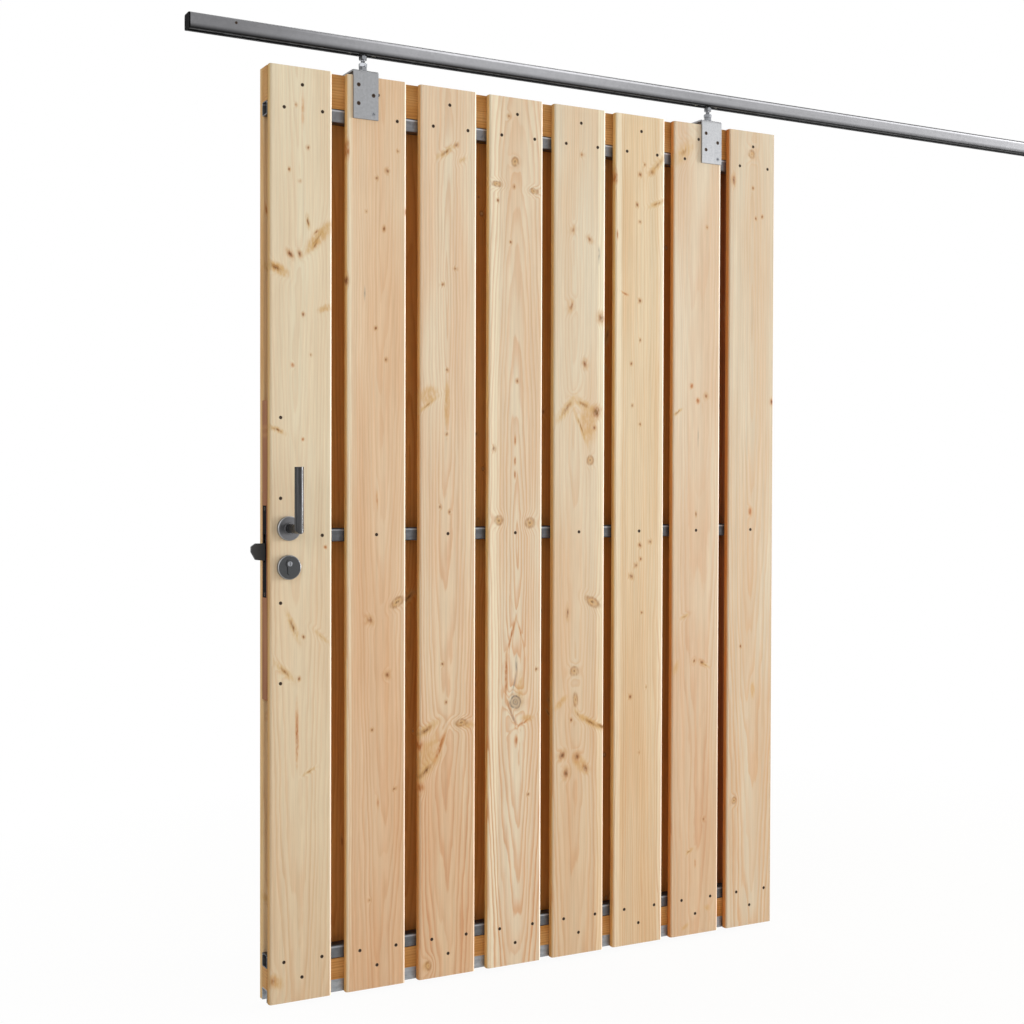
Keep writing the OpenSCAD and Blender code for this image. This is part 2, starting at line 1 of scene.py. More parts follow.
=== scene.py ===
# %% [markdown]
# # A sliding barn door on its slotted rail
# The CAD model already gives every piece its true size and its place. This lesson loads it as a
# fixed frame, gives each piece the look of the real material, and models the small fasteners that
# a solid model leaves plain.

# %% Load the frame
import math
import random

import bmesh
import bpy
from mathutils import Matrix, Vector


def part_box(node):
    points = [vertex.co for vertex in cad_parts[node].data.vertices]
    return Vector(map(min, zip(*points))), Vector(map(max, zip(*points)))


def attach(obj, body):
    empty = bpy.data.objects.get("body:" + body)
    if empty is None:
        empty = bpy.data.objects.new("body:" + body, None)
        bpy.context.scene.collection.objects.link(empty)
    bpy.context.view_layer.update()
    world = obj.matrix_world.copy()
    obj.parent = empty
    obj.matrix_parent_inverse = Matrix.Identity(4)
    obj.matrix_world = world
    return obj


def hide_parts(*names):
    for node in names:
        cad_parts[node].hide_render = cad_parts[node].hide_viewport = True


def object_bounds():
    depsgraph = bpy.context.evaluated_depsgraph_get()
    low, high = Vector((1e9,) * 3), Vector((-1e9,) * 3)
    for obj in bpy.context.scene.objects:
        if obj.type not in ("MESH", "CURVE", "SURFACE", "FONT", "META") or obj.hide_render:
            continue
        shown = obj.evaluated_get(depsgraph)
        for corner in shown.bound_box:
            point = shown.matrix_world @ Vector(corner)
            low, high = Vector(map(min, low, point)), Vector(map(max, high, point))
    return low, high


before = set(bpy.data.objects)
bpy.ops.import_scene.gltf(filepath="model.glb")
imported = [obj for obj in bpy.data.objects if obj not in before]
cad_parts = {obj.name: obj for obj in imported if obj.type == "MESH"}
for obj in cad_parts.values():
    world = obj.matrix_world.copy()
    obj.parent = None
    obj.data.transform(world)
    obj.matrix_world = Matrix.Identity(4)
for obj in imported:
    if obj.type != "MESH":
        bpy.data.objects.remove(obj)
cad_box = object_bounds()
bpy.ops.object.select_all(action="DESELECT")
print(len(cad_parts), "CAD nodes loaded")

# %% [markdown]
# ## The camera
# The door was photographed from the left of its middle, with the lens at half its height. The eye's
# place and turn are kept as plain numbers in metres and degrees, in the frame of the CAD model.

# %% Place the camera
LENS_MM, SENSOR_MM = 53.61, 36
EYE = (-2.4601, -3.1705, -1.0012)
YAW, PITCH, ROLL = 28.83, -0.918, 0.158

camera_data = bpy.data.cameras.new("camera")
camera_data.lens = LENS_MM
camera_data.sensor_width = SENSOR_MM
camera = bpy.data.objects.new("camera", camera_data)
bpy.context.scene.collection.objects.link(camera)
turn = (Matrix.Rotation(math.radians(-YAW), 4, "Z")
        @ Matrix.Rotation(math.radians(90 + PITCH), 4, "X")
        @ Matrix.Rotation(math.radians(ROLL), 4, "Z"))
camera.matrix_world = Matrix.Translation(EYE) @ turn
bpy.context.scene.camera = camera
bpy.context.scene.view_settings.view_transform = "Standard"
print("camera", LENS_MM, "mm at", EYE)

# %% [markdown]
# ## Helpers for materials
# A colour is written as the hex value that a paint chart would give, and the shader wants it
# linear. A material is a tree of nodes, and one small function adds any kind of node with its
# settings and its links, so that a finish reads as a list of what it is made of.

# %% Colour and node helpers
MM = 0.001


def tone(code):
    """An sRGB hex colour as linear red, green, blue and alpha."""
    parts = [int(code[k:k + 2], 16) / 255 for k in (1, 3, 5)]
    return [c / 12.92 if c <= 0.04045 else ((c + 0.055) / 1.055) ** 2.4 for c in parts] + [1.0]


def live(value):
    """A node stands for its first enabled output, and anything else for itself."""
    if isinstance(value, bpy.types.Node):
        return [s for s in value.outputs if s.enabled][0]
    return value


def add(tree, kind, inputs=None, **settings):
    """Adds a node. An input is a value, a socket, or a node whose first live output is meant."""
    node = tree.nodes.new("ShaderNode" + kind)
    for name, value in settings.items():
        setattr(node, name, value)
    for key, value in (inputs or {}).items():
        named = [s for s in node.inputs if s.enabled and s.name == key]
        socket = named[0] if named else node.inputs[key]
        value = live(value)
        if isinstance(value, bpy.types.NodeSocket):
            tree.links.new(value, socket)
        else:
            socket.default_value = value
    return node


# settings of nodes: a colour laid over another, one that tints it like a glaze, and a soft change
PAINT = {"data_type": "RGBA"}
GLAZE = {"data_type": "RGBA", "blend_type": "MULTIPLY"}
SMOOTH = {"interpolation_type": "SMOOTHSTEP"}


def blank(name):
    """A new material, its node tree and its shader."""
    finish = bpy.data.materials.new(name)
    finish.use_nodes = True
    return finish, finish.node_tree, finish.node_tree.nodes["Principled BSDF"]


def feed(tree, shader, **sockets):
    """Links nodes to the shader's sockets, whose names are written with _ for a space."""
    for key, value in sockets.items():
        tree.links.new(live(value), shader.inputs[key.replace("_", " ")])


def dress(finish, *names):
    """Gives CAD nodes a finish in each of their material slots."""
    for name in names:
        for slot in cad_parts[name].material_slots:
            slot.material = finish


# %% [markdown]
# ## The studio
# The picture has a white ground with no horizon. The world is white to the eye and to mirror
# rays, and dimmer as a lamp, so that the gaps between the boards stay dark. The floor does the same and
# keeps part of its own shading, which holds the door's soft shadow.

# %% Floor and world
AMBIENT = 0.43
FLOOR_SIZE = 30
FLOOR_GAP = 0.012
FLOOR_SHADOW = 0.05
SHADOW_NEAR, SHADOW_REACH = 0.8, 2.5


def seen(tree):
    """Is 1 for rays that the eye or a mirror sends out, and 0 for those that only carry light."""
    ray = add(tree, "LightPath")
    straight = add(tree, "Math", {0: ray.outputs["Is Camera Ray"], 1: ray.outputs["Is Glossy Ray"]},
                   operation="MAXIMUM")
    return add(tree, "Math", {0: straight, 1: ray.outputs["Is Transmission Ray"]}, operation="MAXIMUM")


world = bpy.data.worlds.new("white_studio")
bpy.context.scene.world = world
world.use_nodes = True
tree = world.node_tree
tree.nodes.clear()
strength = add(tree, "MapRange", {"Value": seen(tree), "To Min": AMBIENT, "To Max": 1.0})
light = add(tree, "Background", {"Color": tone("#ffffff"), "Strength": strength})
add(tree, "OutputWorld", {"Surface": light})

low, high = (Vector(corner) for corner in cad_box)
bpy.ops.mesh.primitive_plane_add(size=FLOOR_SIZE, location=((low.x + high.x) / 2, 0, low.z - FLOOR_GAP))
floor = bpy.context.object
floor.name = "floor"
# matt paint: a warm white that shows only as light thrown up on the door
paint, tree, shader = blank("pale_floor_paint")
shader.inputs["Base Color"].default_value = tone("#e2dac9")
shader.inputs["Roughness"].default_value = 0.9
spot = add(tree, "TexCoord").outputs["Object"]
away = add(tree, "VectorMath", {0: spot}, operation="LENGTH")
fade = add(tree, "MapRange", {"Value": away, "From Min": SHADOW_NEAR, "From Max": SHADOW_REACH,
                              "To Min": 1 - FLOOR_SHADOW, "To Max": 1.0})
share = add(tree, "Math", {0: seen(tree), 1: fade}, operation="MULTIPLY")
white = add(tree, "Emission", {"Color": tone("#ffffff"), "Strength": 1.0})
both = add(tree, "MixShader", {"Fac": share, 1: shader, 2: white})
tree.links.new(both.outputs[0], tree.nodes["Material Output"].inputs["Surface"])
floor.data.materials.append(paint)
print("floor at", round(floor.location.z, 3), "m")

# %% [markdown]
# ## The lamps
# Each board has a bright line down its right edge and a dark gap beside it, so the main light
# is a narrow strip that stands far to the right and grazes the door. Weaker, wider softboxes fill from
# the right, the front, the left and above, and keep the edges of the shadows soft.

# %% Softboxes
TARGET = Vector((-0.6, 0.0, -1.0))


def softbox(name, place, width, height, watts):
    """A rectangular lamp of that size in metres that faces the middle of the door."""
    lamp = bpy.data.lights.new(name, "AREA")
    lamp.shape = "RECTANGLE"
    lamp.size, lamp.size_y = width, height
    lamp.energy = watts
    holder = bpy.data.objects.new(name, lamp)
    holder.location = place
    holder.rotation_euler = (TARGET - Vector(place)).to_track_quat("-Z", "Y").to_euler()
    bpy.context.scene.collection.objects.link(holder)
    print(name, watts, "W")


softbox("side_light", (6.3, -1.7, -1.0), 0.4, 3.0, 470)
softbox("right_light", (5.6, -3.0, 0.2), 1.5, 1.2, 70)
softbox("front_light", (2.9, -4.3, -0.8), 3.0, 1.6, 58)
softbox("left_fill", (-4.2, -2.2, 0.4), 2.0, 2.6, 40)
softbox("top_light", (0.6, 0.5, 2.6), 3.0, 0.8, 60)

# %% [markdown]
# ## Fir boards
# The boards are planed softwood. Its year rings are cylinders round the tree's heart, so the
# pattern is made in three dimensions: the distance from a slightly leaning axis is cut into
# rings, each pale at first, darker towards autumn, and then abruptly pale again. On the flat of a
# board this gives lines that close to pointed arches, and on its ends it gives arcs, as in real
# wood. Each knot is an ellipse that is darkened and pushes the rings aside.

# %% The wood material
FAR = 9999.0
TO_MM = (1000.0, 1000.0, 1000.0)
SWAY_X, SWAY_Y = 26.0, 34.0  # how far the heart strays, in mm
FRAY_X, FRAY_Z = 5.0, 7.0    # how far the outlines of marks stray, in mm
AUTUMN, WINTER = (0.25, 0.85), (0.86, 1.0)  # parts of a year in which its line darkens and breaks off
FOOT_MM, HEAD_MM = 500.0, 1300.0            # heights between which the contrast of the lines changes
FOOT_SHADE_FULL_MM, FOOT_SHADE_GONE_MM = 200.0, 1500.0              # heights between which the painted shade at the foot fades

# how far a mark pushes the rings, as a share of its half width, and its layers of colour: the
# reach where a layer begins, where it is full, its share and its colour
MARKS = {
    "patch": (0.1, [(1.25, 0.5, 0.6, "#c9a068"), (0.9, 0.2, 0.35, "#bf9157")]),
    "knot": (0.9, [(2.4, 0.9, 0.55, "#c0915c"), (1.25, 0.5, 0.85, "#9a643a"), (0.6, 0.2, 0.85, "#5e381e")]),
    "spike": (0.9, [(2.2, 0.6, 0.7, "#c7a064"), (1.0, 0.4, 0.75, "#a07040"), (0.45, 0.1, 0.8, "#6a4224")]),
    "resin": (0.9, [(1.7, 0.7, 0.55, "#c88f58"), (1.0, 0.3, 0.8, "#a8642f")]),
    "eye": (0.9, [(1.4, 0.9, 0.75, "#a37546"), (0.8, 0.5, 0.8, "#cda874"), (0.4, 0.1, 0.85, "#6a4528")]),
    "grey": (0.5, [(1.5, 0.5, 0.65, "#9c9186"), (0.6, 0.1, 0.65, "#746a60")]),
    "swirl": (1.1, [(1.9, 1.2, 0.35, "#b29a7c"), (1.15, 0.95, 0.8, "#6f665d"), (0.85, 0.7, 0.9, "#c3ad90"),
                    (0.52, 0.42, 0.75, "#84776a"), (0.32, 0.22, 0.8, "#bfa686"),
                    (0.15, 0.05, 0.9, "#8a5c38")]),
}


def patches(across, along):
    """The scale that gives noise in patches of that size in mm, across a board and along it."""
    return (1 / across, 1 / across, 1 / along)


SLOW, QUICK, TORN = patches(60, 500), patches(14, 60), patches(5, 14)
STREAKS, FIBRES = patches(8, 700), patches(2, 80)


def fir(name, corner, look, marks, seed, lying=False):
    """Softwood on a board whose lower left front corner is given, with marks in mm from there.

    The grain runs upright, or along X on a lying board."""
    finish, tree, shader = blank(name)
    place = add(tree, "TexCoord").outputs["Object"]
    if lying:
        place = add(tree, "Mapping", {"Vector": place, "Location": (-corner.z, -corner.y, corner.x),
                                      "Rotation": (0.0, math.radians(-90), 0.0)})
        corner = Vector((0, 0, 0))
    mm = add(tree, "VectorMath", {0: place, 1: TO_MM, 2: corner * -1000}, operation="MULTIPLY_ADD")
    shift = (seed * 3.71, seed * 1.93, seed * 5.27)

    # slow wander of the heart's axis and of the tint
    slow = add(tree, "VectorMath", {0: mm, 1: SLOW, 2: shift}, operation="MULTIPLY_ADD")
    wander = add(tree, "TexNoise", {"Vector": slow, "Scale": 1.0, "Detail": 2.0})
    loose = add(tree, "VectorMath", {0: wander.outputs["Color"], 1: (-SWAY_X, -SWAY_Y, 0.0), 2: mm},
                operation="MULTIPLY_ADD")
    heart_x, heart_y = look["heart"]
    heart = add(tree, "Mapping", {"Vector": loose, "Rotation": (look["lean"], 0.0, 0.0),
                                  "Location": (SWAY_X / 2 - heart_x, SWAY_Y / 2 - heart_y, 0.0)})
    flat = add(tree, "VectorMath", {0: heart, 1: (1.0, 1.0, 0.0)}, operation="MULTIPLY")
    radius = add(tree, "VectorMath", {0: flat}, operation="LENGTH")

    # quick wander that roughens ring lines and the outlines of knots
    quick = add(tree, "VectorMath", {0: mm, 1: QUICK, 2: shift}, operation="MULTIPLY_ADD")
    ripple = add(tree, "TexNoise", {"Vector": quick, "Scale": 1.0, "Detail": 2.0})
    rough = add(tree, "VectorMath", {0: ripple.outputs["Color"], 1: (FRAY_X, 0.0, FRAY_Z), 2: mm},
                operation="MULTIPLY_ADD")

    near = {}
    for kind, x, z, length, width, tilt, faint in marks:
        around = add(tree, "Mapping", {"Vector": rough, "Location": (x + FRAY_X / 2, 0.0, z + FRAY_Z / 2),
                                       "Rotation": (0.0, math.radians(tilt), 0.0),
                                       "Scale": (width, FAR, length)}, vector_type="TEXTURE")
        reach = add(tree, "VectorMath", {0: around}, operation="LENGTH")
        push = add(tree, "MapRange", {"Value": reach, "From Min": 0.3, "From Max": 3.2,
                                      "To Min": MARKS[kind][0] * width + 1.0, "To Max": 0.0},
                   interpolation_type="SMOOTHERSTEP")
        radius = add(tree, "Math", {0: radius, 1: push}, operation="ADD")
        if faint:
            reach = add(tree, "Math", {0: reach, 1: faint}, operation="ADD")
        near[kind] = reach if kind not in near else add(
            tree, "Math", {0: near[kind], 1: reach}, operation="MINIMUM")

    # year rings
    phase = add(tree, "Math", {0: radius, 1: look["ring"]}, operation="DIVIDE")
    phase = add(tree, "Math", {0: ripple, 1: 0.5, 2: phase}, operation="MULTIPLY_ADD")
    part = add(tree, "Math", {0: phase}, operation="FRACT")
    autumn = add(tree, "MapRange", {"Value": part, "From Min": AUTUMN[0], "From Max": AUTUMN[1]}, **SMOOTH)
    winter = add(tree, "MapRange", {"Value": part, "From Min": WINTER[0], "From Max": WINTER[1],
                                    "To Min": 1.0, "To Max": 0.0}, **SMOOTH)
    line = add(tree, "Math", {0: autumn, 1: winter}, operation="MULTIPLY")
    year = add(tree, "TexNoise", {"W": phase, "Scale": 0.45, "Detail": 1.0}, noise_dimensions="1D")
    year = add(tree, "MapRange", {"Value": year, "From Min": 0.3, "From Max": 0.7,
                                  "To Min": 0.25, "To Max": 1.0})
    line = add(tree, "Math", {0: line, 1: year}, operation="MULTIPLY")
    across = add(tree, "SeparateXYZ", {0: rough})
    at_foot, at_head = look["contrast"]
    strong = add(tree, "MapRange", {"Value": across.outputs["Z"], "From Min": FOOT_MM, "From Max": HEAD_MM,
                                    "To Min": at_foot, "To Max": at_head})
    line_share = add(tree, "Math", {0: line, 1: strong}, operation="MULTIPLY")

    # ground colour: two tints of the wood, pale sapwood along an edge, long streaks and short fibres
    tint = add(tree, "SeparateXYZ", {0: wander.outputs["Color"]})
    mix = add(tree, "MapRange", {"Value": tint.outputs["Z"], "From Min": 0.38, "From Max": 0.62})
    colour = add(tree, "Mix", {"Factor": mix, "A": tone(look["pale"]), "B": tone(look["warm"])}, **PAINT)
    for edge, width in look["sap"]:
        band = add(tree, "MapRange", {"Value": across.outputs["X"], "To Min": 0.0, "To Max": 0.85,
                                      "From Min": edge, "From Max": edge + width}, **SMOOTH)
        colour = add(tree, "Mix", {"Factor": band, "A": colour, "B": tone(look["cream"])}, **PAINT)
    colour = add(tree, "Mix", {"Factor": line_share, "A": colour, "B": tone(look["late"])}, **PAINT)
    # a band down a board's right edge: a painted highlight in near white, and on the last board a painted
    # shade
    if "arris" in look:
        begins, full, code = look["arris"]
        band = add(tree, "MapRange", {"Value": add(tree, "SeparateXYZ", {0: mm}), "From Min": begins,
                                      "From Max": full, "To Max": 0.95})
        colour = add(tree, "Mix", {"Factor": band, "A": colour, "B": tone(code)}, **PAINT)
    long = add(tree, "VectorMath", {0: mm, 1: STREAKS, 2: shift}, operation="MULTIPLY_ADD")
    streak = add(tree, "TexNoise", {"Vector": long, "Scale": 1.0, "Detail": 3.0})
    short = add(tree, "VectorMath", {0: mm, 1: FIBRES, 2: shift}, operation="MULTIPLY_ADD")
    fibre = add(tree, "TexNoise", {"Vector": short, "Scale": 1.0, "Detail": 2.0})
    shade = add(tree, "Math", {0: streak, 1: fibre}, operation="ADD")
    shade = add(tree, "MapRange", {"Value": shade, "From Min": 0.65, "From Max": 1.35,
                                   "To Min": 0.90, "To Max": 1.06})
    colour = add(tree, "Mix", {"Factor": 1.0, "A": colour, "B": shade}, **GLAZE)

    # painted shade: darker and warmer towards the foot, and a deeper colour by depth in the board, which
    # stands for the shade in the gaps
    foot_shade = add(tree, "MapRange", {"Value": across.outputs["Z"], "From Min": FOOT_SHADE_FULL_MM, "From Max": FOOT_SHADE_GONE_MM,
                                  "To Min": 1.0, "To Max": 0.0})
    colour = add(tree, "Mix", {"Factor": foot_shade, "A": colour, "B": tone(look["foot"])}, **GLAZE)
    code, untinted_mm, tinted_mm = look["shade_tint"]
    inner = add(tree, "MapRange", {"Value": across.outputs["Y"], "From Min": untinted_mm, "From Max": tinted_mm,
                                   "To Min": 0.0, "To Max": 0.9})
    colour = add(tree, "Mix", {"Factor": inner, "A": colour, "B": tone(code)}, **GLAZE)

    # each kind of mark has a halo and a dark middle, broken up by torn fibres
    torn = add(tree, "VectorMath", {0: mm, 1: TORN, 2: shift}, operation="MULTIPLY_ADD")
    speck = add(tree, "TexNoise", {"Vector": torn, "Scale": 1.0, "Detail": 2.0})
    speck = add(tree, "MapRange", {"Value": speck, "From Min": 0.33, "From Max": 0.6,
                                   "To Min": 0.35, "To Max": 1.0})
    for kind in [k for k in MARKS if k in near]:
        for outside, inside, share, code in MARKS[kind][1]:
            spot = add(tree, "MapRange", {"Value": near[kind], "From Min": outside, "From Max": inside,
                                          "To Max": share}, **SMOOTH)
            spot = add(tree, "Math", {0: spot, 1: speck}, operation="MULTIPLY")
            colour = add(tree, "Mix", {"Factor": spot, "A": colour, "B": tone(code)}, **PAINT)

    grain = add(tree, "Math", {0: line, 1: 0.5, 2: fibre}, operation="MULTIPLY_ADD")
    bump = add(tree, "Bump", {"Strength": 0.25, "Distance": 0.4 * MM, "Height": grain})
    gloss = add(tree, "MapRange", {"Value": grain, "From Min": 0.3, "From Max": 1.1,
                                   "To Min": 0.68, "To Max": 0.52})
    shader.inputs["Specular IOR Level"].default_value = 0.2
    feed(tree, shader, Base_Color=colour, Roughness=gloss, Normal=bump)
    return finish


print("wood marks:", ", ".join(MARKS))

# %% [markdown]
# ## The eight front boards
# No two boards are alike: the tint, the place of the heart and the spacing of the rings differ, and
# so do the knots. They are noted here board by board, as one would chalk them on the bench: kind,
# millimetres from the left edge and from the lower end, half length, half width, lean from
# upright, and how faint.

# %% Front boards
# planed and left raw: cream to pink with darker autumn lines, a silky sheen, and a painted highlight down
# the right edge
EDGE_HIGHLIGHT = (139.5, 141.0, "#fff6e8")
PALE = dict(cream="#e6ddc4", late="#c99b6e", foot="#f8efe8", arris=EDGE_HIGHLIGHT)
PINK = dict(cream="#e6dac0", late="#c68c5c", foot="#f8efe8", arris=EDGE_HIGHLIGHT)
# painted shade: the colour of a board's sides and back, as the gaps show them in shade, and the depths in mm
# where it begins and is full
TAN, AMBER_SIDE = ("#f2d296", 0.5, 4.0), ("#f4b464", 0.5, 4.0)
front_looks = [
    dict(PALE, pale="#dfd3b9", warm="#dccbaf", heart=(62, 70), lean=-0.030, ring=7.0, contrast=(0.40, 0.25),
         sap=[], shade_tint=TAN),
    dict(PINK, pale="#dcc4a6", warm="#d8b896", heart=(88, 58), lean=-0.025, ring=6.5, contrast=(0.50, 0.30),
         sap=[(18, -8)], shade_tint=TAN),
    dict(PINK, pale="#ddceb5", warm="#d9c0a3", heart=(70, 62), lean=-0.040, ring=7.5, contrast=(0.70, 0.40),
         sap=[], shade_tint=TAN, foot="#f7e7d9"),
    dict(PINK, pale="#dacbb2", warm="#d6bea1", heart=(74, 61), lean=-0.060, ring=8.0, contrast=(0.95, 0.50),
         sap=[(34, -8)], shade_tint=TAN, foot="#ffffff"),
    dict(PALE, pale="#d8ccb5", warm="#d5c0a4", heart=(60, 55), lean=-0.030, ring=7.5, contrast=(0.60, 0.30),
         sap=[(122, 8)], shade_tint=TAN, foot="#f7e7d9"),
    dict(PINK, pale="#d9c7a8", warm="#d5bc98", heart=(190, 80), lean=-0.004, ring=6.0, contrast=(0.45, 0.30),
         sap=[(24, -8), (126, 10)], shade_tint=TAN),
    dict(PINK, pale="#d6c8b1", warm="#d1ba9f", heart=(80, 75), lean=-0.020, ring=7.0, contrast=(0.40, 0.25),
         sap=[], shade_tint=AMBER_SIDE, foot="#f7e7d9"),
    # on the last board the right edge is painted darker, as shade
    dict(PALE, pale="#d0c4ae", warm="#ccb79c", heart=(76, 70), lean=-0.045, ring=8.0, contrast=(0.75, 0.30),
         sap=[], shade_tint=AMBER_SIDE, foot="#fbf5f0", arris=(138.0, 142.0, "#b09c80")),
]
PIN = (4, 3, 0, 0)  # a pin knot
